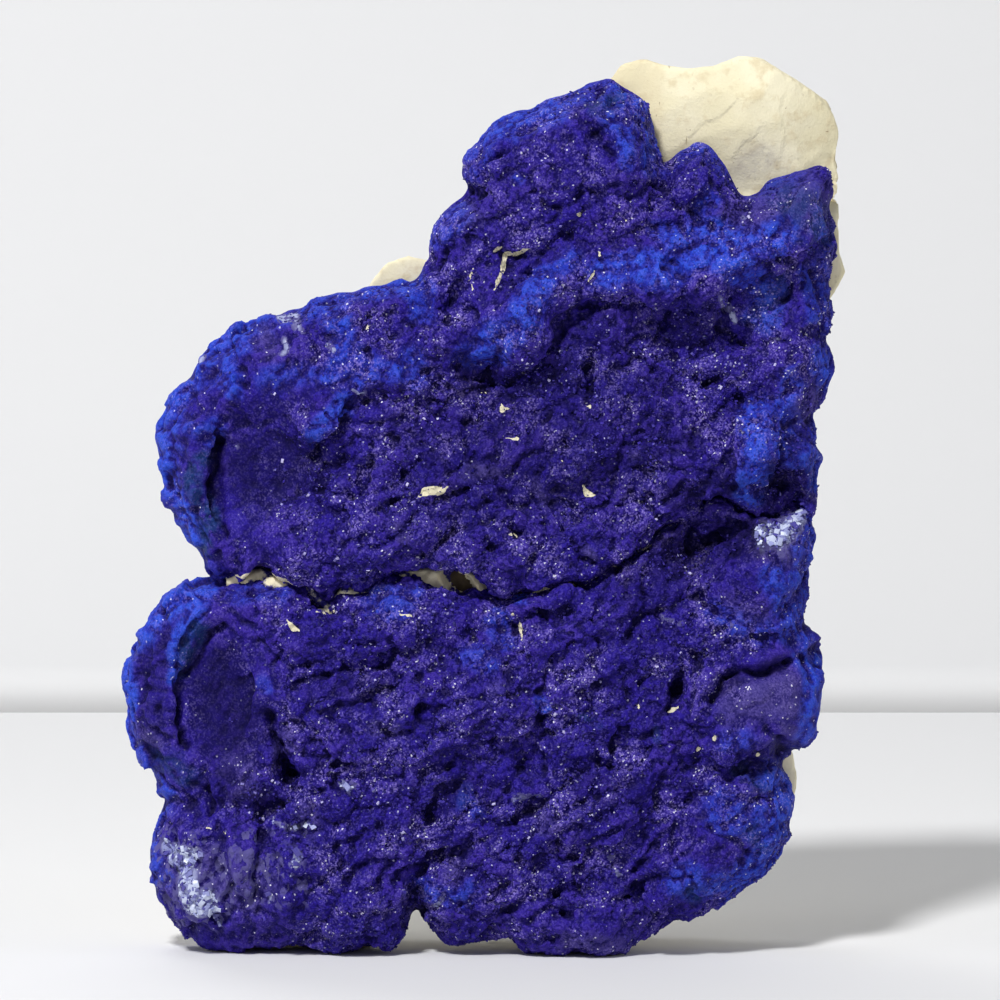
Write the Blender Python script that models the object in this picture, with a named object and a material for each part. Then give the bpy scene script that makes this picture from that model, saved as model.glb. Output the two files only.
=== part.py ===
"""Azurite specimen: two drusy azurite growths on a block of pale claystone.

Frame: metres, +Z up, front towards -Y, origin under the middle of the outer box.
Every outline is a list of (x, z) points in millimetres seen from the front.
"""
import math

import bmesh
import bpy
import numpy as np
from mathutils import Vector
from mathutils.geometry import delaunay_2d_cdt

MM = 0.001

# Overall sizes and fits, in millimetres.
HEIGHT = 113.0
GAP = 0.3
SEAM_GAP = 0.9
FRONT_STEP = 1.95
BACK_STEP = 4.6
STONE_STEP = 3.0
RIM_WALL = 2.0
SOLE_WALL = 2.6
SOLE_RISE = 2.2
RIM_RADIUS = 4.4
SEAM_RADIUS = 1.9
SEAM_BLEND = (-24.0, -6.0)
RIM_RINGS = (0.6, 1.5)
CRUST = 6.8
SCATTER = 0.24
SEED = 1979

# Bowed sheet that parts the azurite from the stone: how far the edges fall back.
BOW_LEFT = 6.0
BOW_RIGHT = 2.4
BOW_FOOT = 3.0
HALF_WIDTH = 45.0
MIDDLE = 56.0

# Lower edge of the upper growth, left to right.
SEAM = [
    (-34.4, 47.3), (-31.1, 47.8), (-28.0, 48.3), (-26.1, 47.7), (-23.6, 47.0), (-21.9, 46.1),
    (-19.6, 44.4), (-18.1, 46.2), (-14.9, 46.4), (-12.4, 48.4), (-8.3, 48.4), (-3.3, 48.5),
    (-0.8, 47.5), (1.8, 45.0), (4.5, 45.6), (7.4, 46.6), (9.9, 47.3), (13.0, 46.6), (15.8, 49.8),
    (19.3, 51.6), (22.4, 54.1), (26.1, 56.0), (28.6, 57.6), (32.0, 56.6), (34.9, 55.8),
    (38.0, 57.2), (40.7, 54.9),
]
# Places where the seam opens and shows clay: (x, half width, extra drop).
SEAM_OPENINGS = [(-27.4, 4.6, 0.8), (-15.6, 3.6, 0.6), (-4.2, 4.8, 2.9), (13.4, 1.4, 0.4)]

# Outer edge of the upper growth, from the right end of the seam up and round to its left end.
UPPER_EDGE = [
    (41.2, 58.6), (42.0, 62.6), (40.7, 66.6), (42.8, 70.6), (44.0, 73.3), (42.8, 77.3),
    (43.4, 80.3), (42.9, 84.4), (43.6, 89.1), (43.1, 92.9), (43.3, 96.4), (42.4, 98.6),
    (40.7, 99.2), (37.4, 97.6), (35.3, 97.1), (32.0, 95.4), (30.3, 97.9), (28.3, 101.3),
    (26.6, 102.0), (24.2, 100.7), (21.9, 99.2), (21.7, 103.3), (19.9, 107.4), (17.0, 109.0),
    (14.6, 109.9), (11.1, 108.4), (8.0, 107.3), (5.5, 105.9), (3.0, 105.4), (0.8, 104.3),
    (-1.2, 101.9), (-2.7, 98.9), (-2.7, 95.7), (-4.6, 94.2), (-6.6, 92.0), (-7.2, 89.9),
    (-7.0, 87.3), (-8.6, 85.2), (-10.8, 85.8), (-13.3, 84.8), (-16.4, 83.6), (-20.8, 82.6),
    (-23.3, 81.0), (-28.0, 80.3), (-32.6, 77.3), (-35.3, 75.3), (-37.0, 72.5), (-39.5, 70.4),
    (-40.7, 67.0), (-40.7, 63.8), (-39.4, 59.0), (-38.0, 55.0), (-36.6, 52.0), (-35.1, 49.6),
]

# Outer edge of the lower growth, from the left end of the seam down and round to its right end.
LOWER_EDGE = [
    (-37.0, 47.0), (-39.8, 45.5), (-41.6, 43.0), (-43.4, 39.3), (-44.9, 36.0), (-45.2, 33.0),
    (-44.9, 30.0), (-45.0, 27.9), (-43.2, 25.8), (-41.2, 23.0), (-39.4, 18.6), (-41.2, 15.6),
    (-42.0, 12.0), (-41.3, 8.5), (-39.6, 5.2), (-36.8, 2.4), (-33.4, 0.0), (-29.8, 0.7),
    (-25.1, 0.8), (-22.6, 0.4), (-19.3, 0.2), (-15.8, 0.6), (-12.0, 0.6), (-10.2, 2.6),
    (-9.0, 5.6), (-7.4, 3.9), (-5.1, 2.4), (-2.6, 1.6), (0.5, 2.1), (3.0, 2.3), (5.4, 0.9),
    (8.0, 0.2), (11.8, 0.0), (15.5, 0.0), (17.4, 0.8), (19.6, 2.6), (22.4, 4.6), (26.8, 5.9),
    (30.9, 8.1), (34.0, 10.8), (36.4, 14.2), (38.1, 17.4), (38.5, 20.2), (37.4, 23.6),
    (39.6, 26.4), (40.8, 28.4), (41.5, 31.6), (41.8, 36.0), (41.2, 38.8), (39.7, 41.2),
    (40.3, 46.0), (40.9, 50.0),
]

# Edge of the stone, from the left foot up and round to the right foot and the arch between them.
STONE_EDGE = [
    (-32.6, 0.0), (-36.0, 5.0), (-37.6, 10.0), (-36.6, 18.0), (-39.6, 25.0), (-41.4, 31.0), (-40.6, 37.0),
    (-37.2, 43.0), (-31.6, 47.4), (-34.2, 54.0), (-36.8, 61.0), (-36.8, 68.0), (-33.4, 73.4),
    (-27.0, 76.8), (-20.4, 79.2), (-15.8, 81.6), (-14.0, 85.6), (-11.6, 87.5), (-8.6, 88.0),
    (-5.6, 87.0), (-2.2, 91.6), (0.8, 97.6), (3.4, 102.6), (9.6, 105.8), (14.2, 109.0),
    (16.4, 111.5), (19.5, 112.4), (23.1, 111.4), (27.4, 111.2), (31.2, 112.6), (33.4, 113.0),
    (36.2, 111.3), (41.3, 108.1), (44.9, 104.1), (44.1, 101.8), (44.6, 97.3), (44.2, 92.0),
    (44.2, 88.4), (45.2, 85.8), (43.2, 82.2), (40.6, 77.0), (40.2, 70.0), (38.2, 63.0),
    (38.4, 53.0), (37.8, 46.0), (37.4, 40.0), (39.2, 34.0), (38.0, 27.6), (39.3, 22.8),
    (38.4, 17.4), (34.4, 13.4), (28.6, 9.4), (21.0, 6.0), (16.4, 2.6), (14.4, 0.0), (6.4, 0.0),
    (3.8, 3.6), (-4.8, 4.4), (-9.0, 8.0), (-12.0, 4.0), (-14.4, 0.0),
]
FEET = [(-33.0, -14.0), (6.0, 14.8)]
FOOT_FRONT = 4.6
# Side wall: share of the depth at which each ring lies, and how far it falls inwards.
STONE_RINGS = [(0.3, 0.3), (0.62, 0.8)]
STONE_BACK_INSET = 1.6
CHIP = 1.5
THINNEST = 7.0
# Broken faces at the back, each a plane y = depth + slope_x * x + slope_z * z.
BACK_FACES = [
    (21.2, 0.11, -0.02), (20.6, -0.10, 0.0), (16.6, 0.0, 0.055), (25.4, 0.02, -0.078),
    (27.0, 0.40, 0.0), (41.5, -0.62, 0.0), (13.2, 0.10, 0.34),
    (47.4, 0.16, -0.29), (44.5, -0.40, -0.13), (22.6, 0.42, 0.14), (20.0, -0.26, 0.24),
    (39.0, 0.86, -0.05), (78.0, -1.35, -0.06), (112.0, 0.25, -0.93), (10.6, 0.25, 0.95),
    (62.0, 0.9, -0.38), (58.0, -0.9, 0.12),
]
# Broken faces of the bare corner at the top right: edges that run up it and their fall.
CORNER_EDGE_LEFT = 21.4
CORNER_EDGE_RIGHT = 35.2
CORNER_FALL_LEFT = 0.30
CORNER_FALL_RIGHT = 0.42
CORNER_BOTTOM = 96.0

# Swellings and hollows: (x, z, half length, half breadth, turn in degrees, height).
UPPER_SWELLS = [
    (12.0, 99.0, 13.0, 9.5, 8.0, 3.4),      # dome at the top
    (36.5, 92.5, 9.0, 7.5, 10.0, 2.6),      # shoulder at the top right
    (20.0, 86.5, 13.0, 4.6, 6.0, 3.2),      # long bright brow
    (4.0, 80.6, 7.4, 5.0, 35.0, 4.2),       # nose of the brow
    (33.8, 88.0, 8.0, 4.2, 22.0, 2.2),      # end of the brow
    (-5.1, 78.2, 2.6, 3.4, 0.0, 2.4),       # small bead beside the nose
    (-26.6, 61.0, 7.6, 8.4, 0.0, -3.0),     # smooth dish of the left fan
    (-35.8, 61.6, 3.0, 9.5, 4.0, 1.6),      # rim of the left fan
    (-28.0, 72.8, 8.0, 4.0, 12.0, 1.6),     # ledge above the dish
    (-20.4, 68.6, 2.2, 4.6, -38.0, 1.8),    # slanting rib
    (-12.0, 74.0, 9.0, 6.0, 25.0, 1.4),     # swelling above the middle
    (-6.0, 58.0, 12.0, 8.0, 20.0, 1.6),     # swelling in the middle
    (12.0, 66.0, 10.0, 6.0, 30.0, 1.8),
    (33.8, 64.0, 3.2, 6.6, -12.0, 2.4),     # hanging tongue at the right
    (38.4, 76.0, 5.0, 7.0, 0.0, 1.8),
    (36.9, 60.4, 2.3, 4.0, 0.0, -6.0),      # hollow behind the tongue
    (41.0, 60.6, 2.0, 3.6, 0.0, 1.6),
    (24.0, 78.0, 9.0, 4.0, 4.0, -2.8),      # shaded step below the brow
    (27.0, 61.0, 7.0, 4.4, 30.0, 1.8),
    (6.0, 52.0, 9.0, 4.0, 8.0, 1.6),
    (-17.0, 54.0, 7.0, 4.0, -10.0, 1.2),
]
LOWER_SWELLS = [
    (-31.8, 33.4, 6.4, 9.4, 6.0, -3.2),     # smooth cup of the left fan
    (-40.4, 33.0, 3.0, 10.0, 0.0, 1.8),     # rim of the left fan
    (-35.0, 44.0, 6.0, 2.6, 20.0, 1.4),
    (-27.1, 27.4, 1.7, 4.8, -4.0, -4.4),    # wedge-shaped hole
    (-31.4, 9.8, 11.0, 8.6, 4.0, 2.8),      # lobe at the bottom left
    (33.8, 47.0, 6.8, 8.0, 0.0, 3.0),       # lobes down the right side
    (33.4, 32.3, 8.6, 5.6, 4.0, 3.6),
    (31.6, 27.2, 4.4, 2.4, 6.0, 1.6),
    (31.8, 18.0, 7.4, 7.0, 30.0, 2.6),
    (11.8, 3.4, 8.4, 3.6, 0.0, 2.2),        # lobe under the middle
    (27.2, 52.6, 6.6, 3.6, 22.0, -4.6),     # shaded hollow under the upper growth
    (22.6, 33.6, 1.9, 4.4, -6.0, -4.2),     # deep pit
    (37.2, 26.3, 2.4, 1.5, 0.0, -3.0),
    (-12.0, 30.0, 9.0, 5.0, 28.0, 1.8),
    (2.0, 34.0, 9.0, 6.0, 30.0, 2.0),
    (-12.0, 41.5, 8.0, 3.4, 6.0, 1.4),
    (10.0, 41.0, 9.0, 4.0, 20.0, 1.4),
    (-16.0, 9.0, 6.0, 6.0, 0.0, 1.6),
    (14.0, 17.0, 12.0, 4.0, 38.0, 2.0),
    (4.0, 8.0, 7.0, 3.4, 10.0, 1.2),
    (24.0, 10.0, 8.0, 3.0, 32.0, 1.6),
    (-9.0, 7.0, 1.5, 3.8, 0.0, -3.4),       # gap between the bottom lobes
]

# Creases and steps: (points, half width, depth).
UPPER_CREASES = [
    ([(-33.4, 66.6), (-33.8, 62.0), (-32.8, 56.2)], 1.5, 2.6),
    ([(-3.6, 75.2), (3.0, 73.4), (6.6, 75.4), (9.4, 79.6), (14.0, 82.2)], 1.5, 2.4),
    ([(13.0, 76.0), (12.8, 70.4)], 1.3, 1.6),
    ([(26.8, 73.4), (30.6, 70.6)], 1.4, 1.6),
    ([(19.4, 61.8), (25.4, 58.4)], 1.6, 1.8),
    ([(21.9, 98.6), (20.6, 94.0)], 1.6, 1.8),
    ([(32.2, 95.0), (31.0, 92.6)], 1.5, 1.6),
]
LOWER_CREASES = [
    ([(-35.1, 40.6), (-37.0, 37.3), (-38.3, 33.5), (-38.5, 29.8), (-37.4, 26.0)], 1.2, 2.2),
    ([(-23.3, 34.5), (-15.8, 36.9), (-10.8, 37.9), (-5.1, 41.0)], 1.5, 1.8),
    ([(-8.0, 17.0), (-2.6, 22.9)], 1.4, 2.2),
    ([(-10.8, 9.8), (-3.3, 13.5), (5.5, 18.5), (12.0, 24.0)], 1.5, 1.8),
    ([(-33.4, 16.0), (-33.6, 5.0)], 1.3, 1.2),
    ([(-28.0, 15.6), (-27.8, 4.0)], 1.3, 1.2),
    ([(24.0, 40.6), (33.0, 40.4), (39.4, 41.0)], 1.5, 2.6),
    ([(24.4, 25.0), (31.0, 24.4), (36.8, 24.8)], 1.5, 2.4),
    ([(-39.0, 19.2), (-34.0, 19.6), (-27.0, 19.0)], 1.6, 2.2),
]

# Rounded beads that cover both growths.
BEAD_PITCH = 5.4
BEAD_HEIGHT = 2.5
# Smooth places where the beads fade out: (x, z, half length, half breadth).
UPPER_SMOOTH = [(-27.0, 61.5, 9.5, 9.5), (-38.5, 62.0, 4.5, 12.0)]
LOWER_SMOOTH = [(-33.0, 33.5, 9.0, 13.0), (-42.0, 33.0, 4.0, 14.0), (-39.0, 10.0, 4.0, 8.0)]


def clear_scene():
    """Remove whatever the file holds before the parts are made."""
    for item in list(bpy.data.objects):
        bpy.data.objects.remove(item, do_unlink=True)


def make_material(name, colour, roughness):
    """Return a plain non-metal finish."""
    material = bpy.data.materials.new(name)
    material.use_nodes = True
    shader = material.node_tree.nodes["Principled BSDF"]
    shader.inputs["Base Color"].default_value = (*colour, 1.0)
    shader.inputs["Roughness"].default_value = roughness
    shader.inputs["Metallic"].default_value = 0.0
    material.diffuse_color = (*colour, 1.0)
    return material


def smooth_loop(points, step):
    """Run a rounded closed curve through the points and cut it to even steps."""
    ring = np.array(points, float)
    before = np.roll(ring, 1, axis=0)
    after = np.roll(ring, -1, axis=0)
    beyond = np.roll(ring, -2, axis=0)
    dense = []
    for start, back, end, far in zip(ring, before, after, beyond):
        for t in np.linspace(0.0, 1.0, 12, endpoint=False):
            dense.append(curve_point(back, start, end, far, t))
    return even_steps(np.array(dense), step)


def curve_point(back, start, end, far, t):
    """Return one point of a gentle spline between start and end."""
    slope_start = (end - back) * 0.38
    slope_end = (far - start) * 0.38
    cubic = 2.0 * t ** 3 - 3.0 * t ** 2
    here = (cubic + 1.0) * start + (t ** 3 - 2.0 * t ** 2 + t) * slope_start
    return here - cubic * end + (t ** 3 - t ** 2) * slope_end


def even_steps(dense, step):
    """Resample a closed run of points at an even spacing."""
    closed = np.vstack([dense, dense[:1]])
    lengths = np.hypot(*np.diff(closed, axis=0).T)
    along = np.concatenate([[0.0], np.cumsum(lengths)])
    count = max(8, int(round(along[-1] / step)))
    stops = np.linspace(0.0, along[-1], count, endpoint=False)
    return np.column_stack([np.interp(stops, along, closed[:, axis]) for axis in (0, 1)])


def line_distance(points, run, closed):
    """Return the distance from each point to a run of straight pieces."""
    run = np.array(run, float)
    ends = np.roll(run, -1, axis=0) if closed else run[1:]
    starts = run if closed else run[:-1]
    nearest = np.full(len(points), 1e9)
    for start, end in zip(starts, ends):
        span = end - start
        part = np.clip((points - start) @ span / (span @ span + 1e-12), 0.0, 1.0)
        foot = start + part[:, None] * span
        nearest = np.minimum(nearest, np.hypot(*(points - foot).T))
    return nearest


def inside(points, loop):
    """Tell which points lie inside a closed loop."""
    x, z = points[:, 0], points[:, 1]
    result = np.zeros(len(points), bool)
    for (x0, z0), (x1, z1) in zip(loop, np.roll(loop, -1, axis=0)):
        if z0 == z1:
            continue
        crosses = (z0 > z) != (z1 > z)
        result ^= crosses & (x < (x1 - x0) * (z - z0) / (z1 - z0) + x0)
    return result


def inward_normals(loop):
    """Return unit normals that point into a closed loop."""
    along = np.roll(loop, -2, axis=0) - np.roll(loop, 2, axis=0)
    normals = np.column_stack([-along[:, 1], along[:, 0]])
    normals /= np.maximum(np.hypot(*normals.T), 1e-9)[:, None]
    if not inside(loop[:1] + normals[:1] * 0.3, loop)[0]:
        normals = -normals
    return normals


def fill_points(loop, step, rings):
    """Return rings of points along the edge and an even field within."""
    normals = inward_normals(loop)
    fields = []
    for inset in rings:
        ring = loop + normals * inset
        fields.append(ring[inside(ring, loop) & (line_distance(ring, loop, True) > inset * 0.85)])
    low, high = loop.min(axis=0), loop.max(axis=0)
    rows = np.arange(low[1], high[1], step * math.sqrt(0.75))
    columns = np.arange(low[0], high[0], step)
    grid = [(x + (row % 2) * step / 2.0, z) for row, z in enumerate(rows) for x in columns]
    grid = np.array(grid)
    grid += np.random.default_rng(SEED).uniform(-SCATTER, SCATTER, grid.shape) * step
    margin = (rings[-1] if rings else 0.0) + step * 0.55
    grid = grid[inside(grid, loop)]
    fields.append(grid[line_distance(grid, loop, True) > margin])
    return np.vstack(fields)


def triangulate(loop, extra):
    """Return points and triangles that fill a loop; the loop's points come first."""
    points = np.vstack([loop, extra])
    count = len(loop)
    edges = [(index, (index + 1) % count) for index in range(count)]
    flat = [Vector(point) for point in points.tolist()]
    result = delaunay_2d_cdt(flat, edges, [], 1, 1e-7)
    order = [source[0] for source in result[3]]
    back = {new: old for new, old in enumerate(order)}
    return points, [[back[corner] for corner in face] for face in result[2]]


def bow(points):
    """Return the depth of the bowed sheet between azurite and stone."""
    x, z = points[:, 0], points[:, 1]
    side = np.where(x < 0.0, BOW_LEFT, BOW_RIGHT) * (np.abs(x) / HALF_WIDTH) ** 3
    low = BOW_FOOT * (np.clip(MIDDLE - z, 0.0, None) / MIDDLE) ** 3
    return side + low


def swell(points, form):
    """Return the height added by one rounded swelling or hollow."""
    x, z, length, breadth, turn, height = form
    angle = math.radians(turn)
    across = points - (x, z)
    u = (across[:, 0] * math.cos(angle) + across[:, 1] * math.sin(angle)) / length
    v = (across[:, 1] * math.cos(angle) - across[:, 0] * math.sin(angle)) / breadth
    return height * np.clip(1.0 - (u * u + v * v) / 2.0, 0.0, 1.0) ** 2


def crease(points, form):
    """Return the depth cut by one crease."""
    run, half_width, depth = form
    away = line_distance(points, run, False) / half_width
    return depth * np.exp(-away * away)


def bead_centres():
    """Return jittered centres, heights and sizes of the beads."""
    random = np.random.default_rng(SEED)
    columns = np.arange(-50.0, 52.0, BEAD_PITCH)
    rows = np.arange(-6.0, 118.0, BEAD_PITCH * 0.87)
    centres = []
    for number, z in enumerate(rows):
        for x in columns:
            centres.append((x + (number % 2) * BEAD_PITCH / 2.0, z))
    centres = np.array(centres)
    return centres + random.uniform(-1.5, 1.5, centres.shape), random.uniform(0.3, 1.0, len(centres))


def beads(points):
    """Return the height of the rounded beads at each point."""
    centres, sizes = bead_centres()
    height = np.zeros(len(points))
    for centre, size in zip(centres, sizes):
        away = np.hypot(*(points - centre).T) / (BEAD_PITCH * 0.78)
        height = np.maximum(height, size * np.sqrt(np.clip(1.0 - away * away, 0.0, 1.0)))
    return BEAD_HEIGHT * (height - 0.45)


def roughened(points, smooth_places):
    """Return 1 where beads show and 0 in the smooth places."""
    mask = np.ones(len(points))
    for x, z, length, breadth in smooth_places:
        away = np.hypot((points[:, 0] - x) / length, (points[:, 1] - z) / breadth)
        mask = np.minimum(mask, np.clip((away - 0.75) / 0.35, 0.0, 1.0))
    return mask


def rim_wall(points):
    """Return the height of the side wall, deeper where the growth rests on the ground."""
    return RIM_WALL + SOLE_WALL * np.clip(1.0 - points[:, 1] / SOLE_RISE, 0.0, 1.0)


def rounded(away, radius):
    """Return the rise, 0 to 1, of a rounded edge of the given radius."""
    near = np.clip(away / radius, 0.0, 1.0)
    return np.sqrt(np.clip(1.0 - (1.0 - near) ** 2, 0.0, 1.0))


def edge_rounding(points, edge, seam):
    """Return the rise of the front from the outer edge and from the tighter seam."""
    start, end = SEAM_BLEND
    part = np.clip((points[:, 0] - start) / (end - start), 0.0, 1.0)
    radius = RIM_RADIUS + (SEAM_RADIUS - RIM_RADIUS) * part
    outer = rounded(line_distance(points, edge, False), RIM_RADIUS)
    return np.minimum(outer, rounded(line_distance(points, seam, False), radius))


def growth_front(points, edge, seam, swells, creases, smooth_places):
    """Return the depth of a growth's front face."""
    rounding = edge_rounding(points, edge, seam)
    body = np.full(len(points), CRUST - RIM_WALL)
    for form in swells:
        body += swell(points, form)
    for form in creases:
        body -= crease(points, form)
    body += beads(points) * roughened(points, smooth_places)
    return bow(points) - rim_wall(points) - rounding * np.clip(body, 0.4, None)


def bridge(low, high, count):
    """Return the side faces between two rings of corners."""
    faces = []
    for index in range(count):
        after = (index + 1) % count
        faces.append((low + index, low + after, high + after, high + index))
    return faces


def closed_body(name, rings, front_extra, back_extra, front_depth, back_depth, material):
    """Build one closed body from a front sheet, side rings and a back sheet.

    rings: list of (loop, depths), front first.
    """
    corners = []
    faces = []
    front_loop, back_loop = rings[0][0], rings[-1][0]
    count = len(front_loop)
    for loop, depths in rings:
        corners.extend((x, y, z) for (x, z), y in zip(loop, depths))
    for number in range(len(rings) - 1):
        faces.extend(bridge(number * count, (number + 1) * count, count))
    front_start = len(corners)
    corners.extend((x, y, z) for (x, z), y in zip(front_extra, front_depth))
    add_sheet(faces, front_loop, front_extra, 0, front_start)
    back_start = len(corners)
    corners.extend((x, y, z) for (x, z), y in zip(back_extra, back_depth))
    add_sheet(faces, back_loop, back_extra, (len(rings) - 1) * count, back_start)
    return solid_object(name, corners, faces, material)


def add_sheet(faces, loop, extra, loop_start, extra_start):
    """Add the triangles of a sheet whose edge corners already exist."""
    count = len(loop)
    for face in triangulate(loop, extra)[1]:
        faces.append([loop_start + i if i < count else extra_start + i - count for i in face])


def solid_object(name, corners, faces, material):
    """Turn corners in millimetres into a closed object with outward faces."""
    mesh = bpy.data.meshes.new(name)
    mesh.from_pydata([tuple(value * MM for value in corner) for corner in corners], [], faces)
    work = bmesh.new()
    work.from_mesh(mesh)
    bmesh.ops.triangulate(work, faces=work.faces[:])
    bmesh.ops.recalc_face_normals(work, faces=work.faces[:])
    work.to_mesh(mesh)
    work.free()
    mesh.materials.append(material)
    item = bpy.data.objects.new(name, mesh)
    bpy.context.collection.objects.link(item)
    return item


def lower_seam():
    """Return the upper edge of the lower growth, right to left."""
    run = []
    for x, z in reversed(SEAM):
        drop = SEAM_GAP
        for centre, half_width, extra in SEAM_OPENINGS:
            drop += extra * max(0.0, 1.0 - ((x - centre) / half_width) ** 2)
        run.append((x, z - drop))
    return run


def make_growth(name, edge, seam, forms, material):
    """Build one azurite growth: rounded lumpy front, plain back against the stone."""
    loop = smooth_loop(seam + edge, FRONT_STEP)
    loop[loop[:, 1] < 0.22, 1] = 0.0
    run = [seam[-1]] + edge + [seam[0]]
    front_extra = fill_points(loop, FRONT_STEP, RIM_RINGS)
    back_extra = fill_points(loop, BACK_STEP, ())
    rings = [(loop, bow(loop) - rim_wall(loop)), (loop, bow(loop))]
    front = growth_front(front_extra, run, seam, *forms)
    return closed_body(name, rings, front_extra, back_extra, front, bow(back_extra), material)


def stone_loop():
    """Return the edge of the stone, flat along its two feet."""
    loop = smooth_loop(STONE_EDGE, STONE_STEP)
    for left, right in FEET:
        on_foot = (loop[:, 1] < 1.2) & (loop[:, 0] > left - 0.8) & (loop[:, 0] < right + 0.8)
        loop[on_foot, 1] = 0.0
    loop[:, 1] = np.clip(loop[:, 1], 0.0, HEIGHT)
    return loop


def stone_front(points):
    """Return the depth of the stone's front face."""
    x, z = points[:, 0], points[:, 1]
    depth = bow(points) + GAP
    bare = np.clip((z - CORNER_BOTTOM) / 4.0, 0.0, 1.0)
    left = CORNER_FALL_LEFT * np.clip(CORNER_EDGE_LEFT - x, 0.0, 6.0)
    right = CORNER_FALL_RIGHT * np.clip(x - CORNER_EDGE_RIGHT, 0.0, 12.0)
    top = 0.35 * np.clip(z - 108.5, 0.0, 5.0)
    foot = np.clip(FOOT_FRONT - depth, 0.0, None) * np.clip((5.0 - z) / 5.0, 0.0, 1.0)
    return depth + bare * (left + right + top) + foot


def stone_back(points):
    """Return the depth of the stone's broken back."""
    x, z = points[:, 0], points[:, 1]
    faces = [depth + slope_x * x + slope_z * z for depth, slope_x, slope_z in BACK_FACES]
    wave = 0.4 * np.sin(x * 0.31 + 0.6) * np.sin(z * 0.27 + 1.1)
    return np.maximum(np.min(faces, axis=0) + wave, bow(points) + THINNEST)


def stone_rings(loop):
    """Return the side rings of the stone, front first."""
    normals = inward_normals(loop)
    normals[loop[:, 1] < 0.01, 1] = 0.0
    front = stone_front(loop)
    back_loop = loop + normals * STONE_BACK_INSET
    back = stone_back(back_loop)
    chips = np.random.default_rng(SEED).uniform(0.0, CHIP, (len(STONE_RINGS), len(loop)))
    chips = (chips + np.roll(chips, 1, axis=1)) / 2.0
    rings = [(loop, front)]
    for (part, inset), chip in zip(STONE_RINGS, chips):
        ring = loop + normals * (inset + chip)[:, None]
        rings.append((ring, front + (back - front) * part))
    rings.append((back_loop, back))
    return rings


def make_stone(material):
    """Build the claystone block with its flat foot."""
    rings = stone_rings(stone_loop())
    front_extra = fill_points(rings[0][0], STONE_STEP, ())
    back_extra = fill_points(rings[-1][0], STONE_STEP, ())
    depths = stone_front(front_extra), stone_back(back_extra)
    return closed_body("claystone_matrix", rings, front_extra, back_extra, *depths, material)


def centre_on_base(items):
    """Move the corners so that the origin is under the middle of the outer box."""
    corners = np.array([corner.co[:] for item in items for corner in item.data.vertices])
    low, high = corners.min(axis=0), corners.max(axis=0)
    shift = Vector(((low[0] + high[0]) / 2.0, (low[1] + high[1]) / 2.0, low[2]))
    for item in items:
        for corner in item.data.vertices:
            corner.co -= shift
        item.data.update()


def main():
    """Build the three bodies."""
    clear_scene()
    azurite_light = make_material("azurite_upper_blue", (0.022, 0.020, 0.26), 0.32)
    azurite_deep = make_material("azurite_lower_blue", (0.018, 0.014, 0.20), 0.36)
    clay = make_material("claystone_cream", (0.76, 0.68, 0.46), 0.85)
    upper = (UPPER_SWELLS, UPPER_CREASES, UPPER_SMOOTH)
    lower = (LOWER_SWELLS, LOWER_CREASES, LOWER_SMOOTH)
    items = [
        make_growth("azurite_upper", UPPER_EDGE, SEAM, upper, azurite_light),
        make_growth("azurite_lower", LOWER_EDGE, lower_seam(), lower, azurite_deep),
        make_stone(clay),
    ]
    centre_on_base(items)


main()
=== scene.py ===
"""Looks of the azurite specimen: two drusy growths, their clay seam, the claystone and a studio."""

import logging
import math
from dataclasses import dataclass, field
from enum import Enum
from typing import Any, Optional, Sequence, Union

import bmesh
import bpy
import numpy as np
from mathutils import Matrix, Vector
from mathutils.geometry import delaunay_2d_cdt


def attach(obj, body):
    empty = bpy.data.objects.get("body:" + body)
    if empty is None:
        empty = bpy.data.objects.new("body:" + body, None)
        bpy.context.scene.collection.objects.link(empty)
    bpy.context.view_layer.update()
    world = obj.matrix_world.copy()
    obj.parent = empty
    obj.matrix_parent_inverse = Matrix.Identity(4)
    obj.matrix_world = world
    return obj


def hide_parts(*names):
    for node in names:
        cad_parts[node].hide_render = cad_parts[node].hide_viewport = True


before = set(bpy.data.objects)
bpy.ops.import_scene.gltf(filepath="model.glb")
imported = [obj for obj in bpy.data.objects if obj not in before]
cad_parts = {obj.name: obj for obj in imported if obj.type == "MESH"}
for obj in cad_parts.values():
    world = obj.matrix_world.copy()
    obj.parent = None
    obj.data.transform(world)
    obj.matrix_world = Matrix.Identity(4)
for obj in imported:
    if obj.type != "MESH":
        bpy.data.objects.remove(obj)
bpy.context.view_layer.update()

LOG = logging.getLogger("azurite")

Array = np.ndarray
Point = tuple[float, float]
Run = Sequence[Point]
Triple = tuple[float, float, float]
Colour = Triple

MM = 0.001
SEED = 1979
# How far the outlines below, in millimetres, lie from the frame's own origin.
SHIFT = np.array([0.025, -4.354, 0.0])

# Bowed sheet between azurite and stone, in millimetres: how far it falls back at the left, at the
# right and at the foot, and where it is level.
BOW_LEFT = 6.0
BOW_RIGHT = 2.4
BOW_FOOT = 3.0
HALF_WIDTH = 45.0
MIDDLE = 56.0
# Odd whole numbers that scramble a cell's number into random ones.
CELL_MIX = (73856093, 19349663, 83492791, 2654435)
KEY_MIX = (2246822519, 3266489917, 668265263, 374761393)

SEAM: Run = [
    (-34.4, 47.3), (-31.1, 47.8), (-28.0, 48.3), (-26.1, 47.7), (-23.6, 47.0), (-21.9, 46.1),
    (-19.6, 44.4), (-18.1, 46.2), (-14.9, 46.4), (-12.4, 48.4), (-8.3, 48.4), (-3.3, 48.5),
    (-0.8, 47.5), (1.8, 45.0), (4.5, 45.6), (7.4, 46.6), (9.9, 47.3), (13.0, 46.6), (15.8, 49.8),
    (19.3, 51.6), (22.4, 54.1), (26.1, 56.0), (28.6, 57.6), (32.0, 56.6), (34.9, 55.8),
    (38.0, 57.2), (40.7, 54.9),
]


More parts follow.
